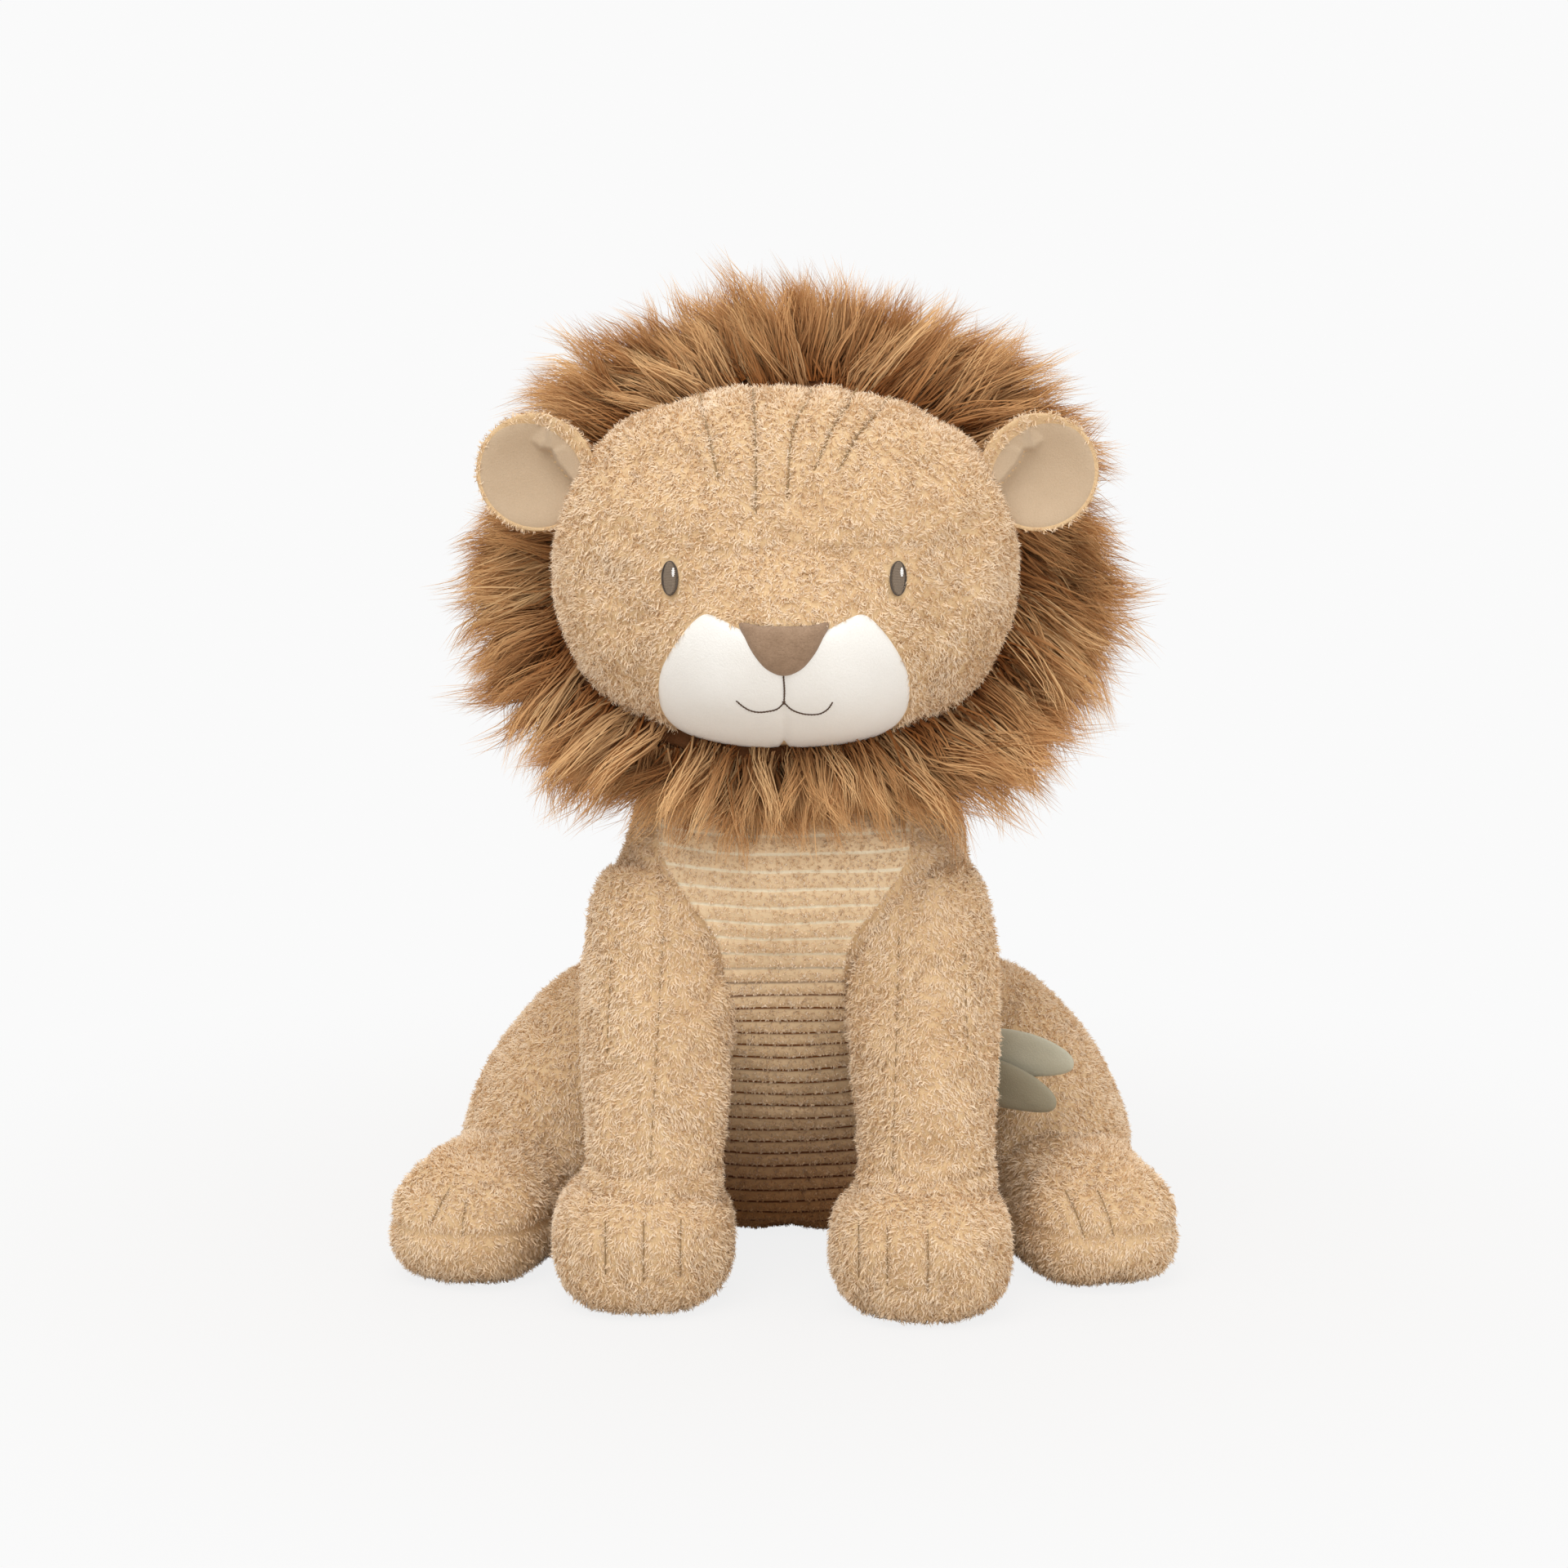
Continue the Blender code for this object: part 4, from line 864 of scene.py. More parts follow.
def makeTufts(name, kinds, strands, length, width, spread, gather, bend, curl, wave, turn, steps, seed):
    # A few kinds of tuft: flat strands that rise from a round root and draw together at the tip.
    draw = random.Random(seed)
    kept = bpy.data.collections.new(name)
    for kind in range(kinds):
        corners, faces, heights = [], [], []
        lockSway = Vector((draw.uniform(-0.5, 0.5), draw.uniform(0.4, 1.0), 0)) * bend
        lockWave = Vector((draw.uniform(-1, 1), draw.uniform(-1, 1), 0)) * wave
        for _ in range(strands):
            angle, away = draw.uniform(0, math.tau), spread * math.sqrt(draw.random())
            root = Vector((math.cos(angle) * away, math.sin(angle) * away, 0))
            reach = length * draw.uniform(0.72, 1.0)
            lean = Vector((draw.uniform(-1, 1), draw.uniform(-1, 1), 0)) * curl
            sway = lockSway + Vector((draw.uniform(-1, 1), draw.uniform(-1, 1), 0)) * bend * 0.25
            facing = draw.uniform(-turn, turn)
            edge = Vector((math.cos(facing), math.sin(facing), 0))
            wide = width * draw.uniform(0.7, 1.2)
            first = len(corners)
            for step in range(steps + 1):
                t = step / steps
                drift = sway * t * t + lean * math.sin(math.pi * t) + lockWave * math.sin(math.tau * t)
                middle = root * (1 - gather * t) + drift * reach + Vector((0, 0, reach * t))
                half = wide / 2 * (1 - t**1.6)
                if step < steps:
                    corners += [middle - edge * half, middle + edge * half]
                    heights += [t, t]
                else:
                    corners.append(middle)
                    heights.append(1.0)
            for step in range(steps - 1):
                k = first + 2 * step
                faces.append((k, k + 1, k + 3, k + 2))
            k = first + 2 * (steps - 1)
            faces.append((k, k + 1, k + 2))
        mesh = bpy.data.meshes.new(f"{name}{kind}")
        mesh.from_pydata(corners, [], faces)
        mapLayer = mesh.uv_layers.new(name="OFBake")
        for loop in mesh.loops:
            mapLayer.data[loop.index].uv = (0.5, heights[loop.vertex_index])
        mesh.shade_smooth()
        kept.objects.link(bpy.data.objects.new(f"{name}{kind}", mesh))
    return kept


def applyTree(name, source, tree, values):
    # runs a node tree on a mesh and keeps the result as a plain mesh
    holder = bpy.data.objects.new(name, source)
    scene.collection.objects.link(holder)
    grown = holder.modifiers.new("made", "NODES")
    grown.node_group = tree
    for item in tree.interface.items_tree:
        if item.item_type == "SOCKET" and item.in_out == "INPUT" and item.name in values:
            grown[item.identifier] = values[item.name]
    mesh = bpy.data.meshes.new_from_object(holder.evaluated_get(bpy.context.evaluated_depsgraph_get()))
    bpy.data.objects.remove(holder)
    mesh.name = name
    made = bpy.data.objects.new(name, mesh)
    scene.collection.objects.link(made)
    return made


def plantPile(name, skin, tufts, finish, seed, **sizes):
    # grows pile on a skin and keeps it as a plain mesh of its own
    made = applyTree(name, skin.data, pileTree, {"Tufts": tufts, "Finish": finish, "Seed": seed, **sizes})
    for extra in ("tone", "flow", "bare", "lengthShare"):
        if made.data.attributes.get(extra):
            made.data.attributes.remove(made.data.attributes[extra])
    print(name, sum(len(p.vertices) - 2 for p in made.data.polygons), "triangles")
    return made


terry = {
    "kinds": 12, "strands": 2, "length": 0.0044, "width": 0.00098, "spread": 0.0011, "gather": 0.1, "bend": 0.5,
    "curl": 0.3, "wave": 0.1, "turn": 0.7, "steps": 2, "seed": 3, "density": 286000, "lift": 0.62, "lean": 0.66,
    "scatter": 0.42, "roll": 0.5, "parting": 0.0012,
}
tuftKeys = ("kinds", "strands", "length", "width", "spread", "gather", "bend", "curl", "wave", "turn", "steps",
            "seed")
terryTufts = makeTufts("terryTuft", *[terry[k] for k in tuftKeys])


def makeClear(name, lines=(), patches=(), skin=None):
    # what the pile keeps off: thin strips along seams, and shrunken copies of sewn-on pieces laid on the skin
    cage = bmesh.new()
    if patches:
        tree = treeOf(skin)
    for patch, shrink in patches:
        middle = Vector(readVertices(patch).mean(0))
        first = len(cage.verts)
        cage.from_mesh(patch.data)
        cage.verts.ensure_lookup_table()
        for vertex in cage.verts[first:]:
            inward = middle.lerp(vertex.co, shrink)
            vertex.co = tree.find_nearest(Vector((inward.x, vertex.co.y, inward.z)))[0]
    far = [Vector((0, 0, 9)), Vector((0.001, 0, 9))]
    for line in [*lines, far]:
        for start, end in zip(line, line[1:]):
            start, end = Vector(start), Vector(end)
            cage.faces.new([cage.verts.new(p) for p in (start, end, end + Vector((2e-5, 2e-5, 2e-5)))])
    made = makeObject(name, cage)
    made.hide_render = True
    return made


def dressTerry(name, skin, seed, clear, layers=1, **changes):
    sizes = {"Density": terry["density"] / layers, "Lift": terry["lift"], "Lean": terry["lean"],
             "Scatter": terry["scatter"], "Roll": terry["roll"], "Smallest": 0.75, "Largest": 1.15,
             "Patch Scale": 26.0, "Patch Share": 1.3, "Parting": terry["parting"], **changes}
    for layer in range(layers):
        label = name if layers == 1 else f"{name}_{layer}"
        yield plantPile(label, skin, terryTufts, terryPile, seed + 10 * layer, Clear=clear, **sizes)


def setFlow(skin, bare, down=0.7, swirl=0.9, lines=(), shortest=0.6):
    # the pile leans down the cover, swirls from place to place and is short beside a sewn line
    places = readVertices(skin)
    flow = np.array([Vector((0, 0, -down)) + swirl * noise.noise_vector(Vector(p) * 45) for p in places])
    setField(skin, "flow", flow)
    setField(skin, "bare", np.clip(bare, 0, 1))
    beside = np.clip((lineDistances(places, lines) - 0.001) / 0.003, 0, 1)
    setField(skin, "lengthShare", shortest + (1 - shortest) * beside)


def hiddenShare(skin, treeNames, depth=0.006):
    places = readVertices(skin)
    hidden = (places[:, 2] < 0.001).astype(float)
    for name in treeNames:
        hidden = np.maximum(hidden, (signedDistances(places, trees[name], 0.02) < -depth).astype(float))
    return hidden


def keep(piece, body, slotName, *replaced, finish=None, fill=None):
    # gives a finished piece its cloth, its moving body and the solids that it stands for
    if finish:
        piece.data.materials.clear()
        piece.data.materials.append(finish)
    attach(piece, body)
    if replaced:
        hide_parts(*replaced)
    return piece


face = {
    "muzzle": [(0, 401), (22, 402.5), (29, 405), (36.5, 408.3), (44, 410), (50.5, 406), (58.5, 396.5), (65.6, 385),
               (70.6, 373), (72, 360), (70.5, 349), (64.8, 338.5), (55, 330), (41.5, 325.2), (21, 323.2),
               (0, 323.0)],
    "nose": [(0, 404.4), (13, 404.6), (24.3, 405.6), (21.5, 397.5), (17.5, 389.5), (11.5, 381.8), (5.5, 378.0),
             (0, 376.9)],
    "mouth": [[(-0.3, 377.2), (0.2, 369), (0, 361.2)],
              [(0, 361.2), (-3.4, 358.2), (-8.6, 356.8), (-14.2, 356.4), (-18.8, 357.8), (-22.4, 360.4),
               (-24.6, 362.6)],
              [(0, 361.2), (3.8, 358.0), (8.7, 355.8), (14.0, 354.9), (19.4, 355.6), (23.2, 358.2), (25.5, 361.7)]],
    "muzzleRise": 2.0, "cheekRise": 2.4, "noseRise": 3.0, "eye": (63.4, 427.0), "eyeHalf": (4.2, 8.9),
    "eyeRows": 28, "highlights": [(64.9, 430.2), (-61.0, 430.2)],
}


def wholeOutline(half):
    # both halves of an outline whose right half runs from its top to its bottom
    return half + [(-x, z) for x, z in reversed(half) if x]


def layPatch(name, outline, centre, rise, rings=16, around=160):
    # a sewn-on patch that follows the face: rise(t, x, z) in mm, where t is 1 at its rim
    rim = smoothPath(wholeOutline(outline), around, closed=True)
    cage = bmesh.new()
    rows = [[cage.verts.new(onFace(centre[0] * mm, centre[1] * mm, rise(0, *centre) * mm))] * around]
    for ring in range(1, rings + 1):
        t = 1 - (1 - ring / rings) ** 1.25
        spots = [(centre[0] + (x - centre[0]) * t, centre[1] + (z - centre[1]) * t) for x, z in rim]
        rows.append([cage.verts.new(onFace(x * mm, z * mm, rise(t, x, z) * mm)) for x, z in spots])
    for inner, outer in zip(rows, rows[1:]):
        for k in range(around):
            after = (k + 1) % around
            corners = [inner[k], outer[k], outer[after], inner[after]]
            cage.faces.new(corners if inner[k] is not inner[after] else [inner[k], outer[k], outer[after]])
    bmesh.ops.recalc_face_normals(cage, faces=cage.faces)
    cage.faces.ensure_lookup_table()
    if cage.faces[0].normal.y > 0:
        bmesh.ops.reverse_faces(cage, faces=cage.faces)
    return makeObject(name, cage)


def muzzleRise(t, x, z):
    cheeks = face["cheekRise"] * math.exp(-(((abs(x) - 38) / 20) ** 2) - ((z - 362) / 20) ** 2)
    groove = 1.0 * math.exp(-((x / 3.0) ** 2)) * (z < 385)
    notch = 3.4 * math.exp(-((x / 1.8) ** 2) - ((z - 326) / 7) ** 2)
    pleats = 0.5 * math.cos(x / 1.7) * math.exp(-((x / 9) ** 2) - ((z - 326) / 8) ** 2)
    return face["muzzleRise"] * (1 - t**12) + cheeks * (1 - t**4) - 0.8 * t**40 - groove - notch + pleats


def noseRise(t, x, z):
    return face["muzzleRise"] + face["noseRise"] * (1 - t**3.5) ** 0.7 - 1.2 * t**10


muzzlePatch = layPatch("muzzlePatch", face["muzzle"], (0, 364), muzzleRise, 22, 220)
nosePatch = layPatch("nosePatch", face["nose"], (0, 394), noseRise, 14, 120)


def sweepThread(cage, points, radius, sideCount=6, taper=True):
    # a round thread along points, closed at both ends
    points = [Vector(p) for p in points]
    rows = []
    edge = None
    for k, point in enumerate(points):
        ahead = (points[min(k + 1, len(points) - 1)] - points[max(k - 1, 0)]).normalized()
        edge = (edge - ahead * edge.dot(ahead)).normalized() if edge else ahead.orthogonal().normalized()
        other = ahead.cross(edge)
        full = radius * (0.35 if taper and k in (0, len(points) - 1) else 1)
        turns = [math.tau * j / sideCount for j in range(sideCount)]
        rows.append([cage.verts.new(point + (edge * math.cos(a) + other * math.sin(a)) * full) for a in turns])
    for low, high in zip(rows, rows[1:]):
        for j in range(sideCount):
            cage.faces.new((low[j], low[(j + 1) % sideCount], high[(j + 1) % sideCount], high[j]))
    cage.faces.new(rows[0][::-1])
    cage.faces.new(rows[-1])


def makeStitchTree():
    # Short stitches laid end to end along a path, each slightly turned like a stem stitch.
    tree, given, out = newGroup(
        "sewStitches", "GeometryNodeTree",
        [("Geometry", "NodeSocketGeometry"), ("Spacing", "NodeSocketFloat"), ("Length", "NodeSocketFloat"),
         ("Radius", "NodeSocketFloat"), ("Slant", "NodeSocketFloat"), ("Stitch", "NodeSocketObject"),
         ("Finish", "NodeSocketMaterial")],
        [("Geometry", "NodeSocketGeometry")])
    path = addNode(tree, "GeometryNodeMeshToCurve", {"Mesh": given["Geometry"]})
    even = addNode(tree, "GeometryNodeResampleCurve", {"Curve": path.outputs[0], "Length": given["Spacing"]},
                   mode="LENGTH")
    tangent = addNode(tree, "GeometryNodeInputTangent").outputs[0]
    side = vectorMath(tree, "SCALE", vectorMath(tree, "CROSS_PRODUCT", tangent, (0.0, 1.0, 0.0)), given["Slant"])
    turned = addNode(tree, "FunctionNodeAxesToRotation",
                     {0: vectorMath(tree, "ADD", tangent, side), 1: (0.0, 1.0, 0.0)},
                     primary_axis="Z", secondary_axis="X").outputs[0]
    size = addNode(tree, "ShaderNodeCombineXYZ", {"X": given["Radius"], "Y": given["Radius"],
                                                  "Z": given["Length"]}).outputs[0]
    shape = addNode(tree, "GeometryNodeObjectInfo", {"Object": given["Stitch"]}).outputs["Geometry"]
    laid = addNode(tree, "GeometryNodeInstanceOnPoints",
                   {"Points": even.outputs[0], "Instance": shape, "Rotation": turned, "Scale": size})
    real = addNode(tree, "GeometryNodeRealizeInstances", {0: laid.outputs[0]})
    finished = addNode(tree, "GeometryNodeSetMaterial", {"Geometry": real.outputs[0], "Material": given["Finish"]})
    tree.links.new(finished.outputs[0], out["Geometry"])
    return tree


stitchTree = makeStitchTree()
cage = bmesh.new()
sweepThread(cage, [(0, 0, -0.5), (0, 0, -0.4), (0, 0, 0), (0, 0, 0.4), (0, 0, 0.5)], 1.0)
stitchShape = makeObject("stitchShape", cage)
stitchShape.hide_render = True


def sewStitches(name, lines, spacing, length, radius, finish, slant=0.0):
    mesh = bpy.data.meshes.new(name)
    corners, links = [], []
    for line in lines:
        links += [(len(corners) + k, len(corners) + k + 1) for k in range(len(line) - 1)]
        corners += [tuple(p) for p in line]
    mesh.from_pydata(corners, links, [])
    values = {"Spacing": spacing * mm, "Length": length * mm, "Radius": radius * mm, "Slant": slant,
              "Stitch": stitchShape, "Finish": finish}
    made = applyTree(name, mesh, stitchTree, values)
    made.data.shade_smooth()
    return made


def satinEye(side, sideName):
    # level satin stitches inside an oval, with a darker outline
    centreX, centreZ = side * face["eye"][0], face["eye"][1]
    halfX, halfZ = face["eyeHalf"]
    rows = bmesh.new()
    for k in range(face["eyeRows"]):
        z = halfZ * (2 * (k + 0.5) / face["eyeRows"] - 1)
        reach = halfX * math.sqrt(1 - (z / halfZ) ** 2) + 0.1
        line = [onFace((centreX + reach * u) * mm, (centreZ + z) * mm, (1.5 - 1.3 * u**4) * mm)
                for u in np.linspace(-1, 1, 7)]
        sweepThread(rows, line, 0.36 * mm)
    ring = bmesh.new()
    turns = [math.tau * k / 48 for k in range(49)]
    sweepThread(ring, [onFace((centreX + (halfX + 0.2) * math.cos(a)) * mm,
                              (centreZ + (halfZ + 0.2) * math.sin(a)) * mm, 0.7 * mm)
                       for a in turns], 0.5 * mm, taper=False)
    shine = bmesh.new()
    spotX, spotZ = face["highlights"][0 if side > 0 else 1]
    for k in range(5):
        z = 2.0 * (k / 2 - 1)
        reach = 0.95 * math.sqrt(max(0.05, 1 - (z / 2.5) ** 2))
        sweepThread(shine, [onFace((spotX + reach * u) * mm, (spotZ + z) * mm, 1.85 * mm)
                            for u in (-1, -0.4, 0.4, 1)], 0.55 * mm)
    return [keep(makeObject(f"eyeSatin_{sideName}", rows), "head", "eye_thread", f"eye_{sideName}",
                 finish=eyeThread),
            keep(makeObject(f"eyeOutline_{sideName}", ring), "head", "eye_thread", finish=eyeEdgeThread),
            keep(makeObject(f"eyeShine_{sideName}", shine), "head", "eye_thread", finish=whiteThread)]


eyes = [piece for side, sideName in sides for piece in satinEye(side, sideName)]
mouthLines = [[onFace(x * mm, z * mm, (muzzleRise(0.5, x, z) + 0.15) * mm) for x, z in smoothPath(line, 40)]
              for line in face["mouth"]]
mouth = sewStitches("mouthStitches", mouthLines, 1.7, 2.6, 0.43, mouthThread, 0.18)
forehead = sewStitches("foreheadStitches", [facePath(line, -1.2 * mm) for line in seams["forehead"]], 5.0, 5.6,
                       0.48, seamThread)
keep(muzzlePatch, "head", "cream_velour", "muzzle_panel", finish=creamVelour, fill=0.9)
keep(nosePatch, "head", "taupe_velour", "nose", finish=taupeVelour, fill=0.9)
keep(mouth, "head", "eye_thread")
keep(forehead, "head", "eye_thread")
print("face sewn")


panel = {
    "bottom": 0.005, "top": 0.284, "halfWidth": 0.0705, "pitch": 0.0105, "relief": 0.0032, "columns": 44,
    "rowsPerRib": 12, "widths": (0.60, 0.62, 0.62, 0.61, 0.60, 0.57, 0.54, 0.50, 0.47, 0.54, 0.79, 0.99, 1.0),
    "wave": 0.12, "tuck": 0.003, "parting": 0.0014,
}


def makePanel():
    # Ribs across the belly: shallow with pale valleys on the chest, deep and creased lower down.
    levels = np.linspace(panel["bottom"], panel["top"], 400)
    front = np.array([onChest(0, z) for z in levels])
    reached = np.r_[0, np.cumsum(np.linalg.norm(np.diff(front, axis=0), axis=1))]
    ribs = round(reached[-1] / panel["pitch"])
    rows = ribs * panel["rowsPerRib"]
    cage = bmesh.new()
    tree = treeOf(torsoSkin)
    grid, counts = [], []
    for row in range(rows + 1):
        z = float(np.interp(reached[-1] * row / rows, reached, levels))
        share = (z - panel["bottom"]) / (panel["top"] - panel["bottom"])
        reach = panel["halfWidth"] * readShares(panel["widths"], share) + panel["tuck"]
        line = []
        for column in range(panel["columns"] + 1):
            u = 2 * column / panel["columns"] - 1
            x = reach * u
            sag = panel["wave"] * noise.noise(Vector((x * 16, 0, z * 30))) * 2 + 0.10 * (1 - u * u) * (z < 0.19)
            phase = max(0.0, row / panel["rowsPerRib"] + sag)
            crown = abs(math.sin(math.pi * phase)) ** 0.45
            depth = panel["relief"] * float(np.interp(z, (0.165, 0.215), (1.0, 0.4)))
            edge = max(0.0, abs(u) - 0.96) / 0.04
            rise = 0.0026 + depth * (crown - 1) - 0.003 * edge**2
            hit = tree.ray_cast(Vector((x, -1, z)), Vector((0, 1, 0)))
            line.append(cage.verts.new(hit[0] + hit[1] * rise))
            counts.append(phase)
        grid.append(line)
    for low, high in zip(grid, grid[1:]):
        for k in range(panel["columns"]):
            cage.faces.new((low[k], low[k + 1], high[k + 1], high[k]))
    made = makeObject("bellyPanel", cage)
    setField(made, "rib", counts)
    return made, np.array(counts)


bellyPanel, ribCounts = makePanel()
places = readVertices(bellyPanel)
fromValley = np.abs(ribCounts - np.round(ribCounts)) * panel["pitch"]
parting = np.interp(places[:, 2], (0.165, 0.215), (panel["parting"] + 0.0004, panel["parting"]))
setField(bellyPanel, "bare", np.clip((parting - fromValley) / 0.0004, 0, 1))
setField(bellyPanel, "flow", np.tile((0.0, 0.0, -1.0), (len(places),
                                                        1)) + 0.5 * np.array([noise.noise_vector(Vector(p) * 60)
                                                            for p in places]))
setField(bellyPanel, "lengthShare", np.ones(len(places)))
noClear = makeClear("noClear")
ribLoops = {
    "kinds": 6, "strands": 4, "length": 0.0018, "width": 0.0008, "spread": 0.0007, "gather": 0.2, "bend": 0.3,
    "curl": 0.3, "wave": 0.0, "turn": 0.9, "steps": 2, "seed": 8, "density": 330000, "lift": 0.9, "lean": 0.15,
}
ribTufts = makeTufts("ribTuft", *[ribLoops[k] for k in tuftKeys])
bellyPile = plantPile("bellyPile", bellyPanel, ribTufts, ribPile, 33, Density=ribLoops["density"],
                      Lift=ribLoops["lift"], Lean=ribLoops["lean"], Scatter=0.4, Roll=0.8, Smallest=0.7,
                      Largest=1.1, Clear=noClear, Parting=0.0001, **{"Patch Scale": 35.0, "Patch Share": 1.2})
keep(bellyPanel, "torso", "ribbed_plush", "belly_panel", finish=ribGround)
keep(bellyPile, "torso", "ribbed_plush")
print("belly panel let in")


legs = [f"foreleg_{n}" for _, n in sides]
setFlow(torsoSkin, hiddenShare(torsoSkin, ["thigh_left", "thigh_right", *legs], 0.012))
headPlaces = readVertices(headSkin)
setFlow(headSkin, np.clip((headPlaces[:, 1] - (head["centre"].y + 0.018)) / 0.01, 0, 1), 0.35, 0.9,
        skinLines["head"], 0.85)
for side, sideName in sides:
    hides = {f"foreleg_{sideName}": (["torso", f"forepaw_{sideName}"], 0.012),
             f"forepaw_{sideName}": ([f"foreleg_{sideName}"], 0.006),
             f"thigh_{sideName}": (["torso", f"hind_paw_{sideName}"], 0.012),
             f"hind_paw_{sideName}": ([f"thigh_{sideName}"], 0.006)}
    for name, (treeNames, depth) in hides.items():
        setFlow(limbs[name], hiddenShare(limbs[name], treeNames, depth), lines=skinLines.get(name, []),
                shortest=0.85 if "foreleg" in name else 0.65)
torsoPile = list(dressTerry("torsoPile", torsoSkin, 11, makeClear("torsoClear", [], [(bellyPanel, 0.96)],
                                                                  torsoSkin), 3))
sewnOn = [(muzzlePatch, 0.965), (nosePatch, 0.95), (eyes[0], 1.25), (eyes[3], 1.25)]
headPile = list(dressTerry("headPile", headSkin, 12, makeClear("headClear", skinLines["head"], sewnOn, headSkin), 2,
                           Parting=0.0009))
limbPile = {}
for k, (name, skin) in enumerate(limbs.items()):
    parting = 0.0006 if "foreleg" in name else 0.0010
    limbPile[name] = list(dressTerry(skin.name.replace("Skin", "Pile"), skin, 20 + k,
                                     makeClear(f"{name}Clear", skinLines.get(name, [])),
                                     Parting=parting))

keep(torsoSkin, "torso", "terry", "torso_cover", "torso_filling", finish=terryGround, fill=0.85)
keep(headSkin, "head", "terry", "head_cover", "head_filling", finish=terryGround, fill=0.9)
for piece in torsoPile:
    keep(piece, "torso", "terry")
for piece in headPile:
    keep(piece, "head", "terry")
neckForm = {"halves": (0.068, 0.060, 0.049), "height": 0.327, "cuts": 20, "density": 120000}
neckBall = makeForm("neckBall", lambda x, y, z: Vector((
    neckForm["halves"][0] * x, torso["neckY"] + neckForm["halves"][1] * y,
    neckForm["height"] + neckForm["halves"][2] * z)), neckForm["cuts"])
setFlow(neckBall, hiddenShare(neckBall, ["torso", "head"], 0.010))
neckPile = list(dressTerry("neckPile", neckBall, 15, noClear, Density=neckForm["density"]))
keep(neckBall, "neck", "filling", "neck", finish=terryGround, fill=0.9)
for piece in neckPile:
    keep(piece, "neck", "terry")


def limbKeep(piece, name, side, *replaced, fill=None):
    # a foreleg piece is only baked where it stands, its bend points read but not used; every other limb piece rides
    limb, sideName = name.rsplit("_", 1)
    if limb != "foreleg":
        body = {"forepaw": "foreleg", "thigh": "hind_leg", "hind_paw": "hind_leg"}[limb]
        return keep(piece, f"{body}_{sideName}", "terry", *replaced, fill=fill)
    start, end = [(side * x, stance + y, z) for x, y, z in foreleg["bend"]]
    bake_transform(piece)
    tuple(start)
    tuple(end)
    if replaced:
        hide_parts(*replaced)
    return piece


for side, sideName in sides:
    for limb in ("foreleg", "forepaw", "thigh", "hind_paw"):
        name = f"{limb}_{sideName}"
        limbs[name].data.materials.append(terryGround)
        stands = [name] + ([f"hind_sole_{sideName}"] if limb == "hind_paw" else [])
        limbKeep(limbs[name], name, side, *stands, fill=0.85)
        for piece in limbPile[name]:
            limbKeep(piece, name, side)
for name, lines in skinLines.items():
    if "paw" not in name:
        continue
    inner = [[p + Vector((0, 0.0014, 0)) for p in line] for line in lines[:2 if "hind" in name else 3]]
    body = "foreleg" if "fore" in name else "hind_leg"
    keep(sewStitches(f"toeStitches_{name}", inner, 5.0, 5.4, 0.34, seamThread), f"{body}_{name.rsplit('_', 1)[1]}",
         "terry")
for side, sideName in sides:
    name = f"foreleg_{sideName}"
    inner = [[p + Vector((0, 0.0010, 0)) for p in line if p.z < 0.215] for line in skinLines[name]]
    limbKeep(sewStitches(f"legStitches_{sideName}", inner, 8.5, 5.0, 0.34, seamThread), name, side)
print("terry planted")


mane = {
    "centre": Vector((0, stance + 0.012, 0.424)), "halves": (0.147, 0.048, 0.107), "power": 2.3, "bibReach": 0.122,
    "bibPower": 1.6, "cuts": 34, "density": 24000, "layers": 6, "lift": 0.50, "lean": 0.95, "scatter": 0.12,
    "roll": 0.6, "swirl": 0.6, "kinds": 12, "strands": 30, "length": 0.074, "width": 0.00110, "spread": 0.0085,
    "gather": 0.93, "bend": 0.36, "curl": 0.07, "wave": 0.05, "turn": 1.3, "steps": 4, "seed": 5,
    # share of the pile's length by direction from the middle, in degrees from the lion's left
    "uneven": {-57: 1.06, -45: 1.14, -37: 1.18, -25: 1.13, -5: 0.94, 12: 0.98, 23: 1.06, 42: 1.07, 52: 0.97,
               70: 0.96, 87: 1.02, 96: 0.98, 106: 0.90, 118: 0.86, 130: 0.75, 146: 0.86, 160: 0.81, 171: 0.72,
               180: 0.75, 190: 0.88, 198: 0.90, 210: 0.97, 224: 1.03, 240: 1.02, 252: 0.92, 270: 0.80, 290: 0.93},
}


def manePlace(x, y, z):
    point = padPlace(mane["centre"], mane["halves"], mane["power"], 0)(x, y, z)
    drop = max(0.0, mane["centre"].z - point.z) / mane["halves"][2]
    point.y -= mane["bibReach"] * drop ** mane["bibPower"]
    return point


maneSkin = makeForm("maneSkin", manePlace, mane["cuts"])
places = readVertices(maneSkin)
radial = places - np.array((0, 0, 0.425))
radial[:, 1] = 0
radial /= np.maximum(np.linalg.norm(radial, axis=1), 1e-6)[:, None]
low = np.clip((mane["centre"].z - places[:, 2]) / mane["halves"][2], 0, 1)
radial[:, 1] -= 0.25 * low
radial[:, 2] -= 0.35 * np.abs(radial[:, 0]) + 0.3 * low
swirl = np.array([noise.noise_vector(Vector(p) * 24) for p in places])
angle = np.degrees(np.arctan2(radial[:, 2], radial[:, 0]))
uneven = np.interp(angle, list(mane["uneven"]), list(mane["uneven"].values()), period=360)
setField(maneSkin, "flow", radial + mane["swirl"] * swirl)
inside = (signedDistances(places, trees["head"], 0.03) < -0.001).astype(float)
inTorso = (signedDistances(places, trees["torso"], 0.03) < -0.001).astype(float)
setField(maneSkin, "bare", np.maximum(inside, inTorso))
setField(maneSkin, "lengthShare", uneven + 0.2 * swirl[:, 0])
maneTufts = makeTufts("maneTuft", *[mane[k] for k in tuftKeys])
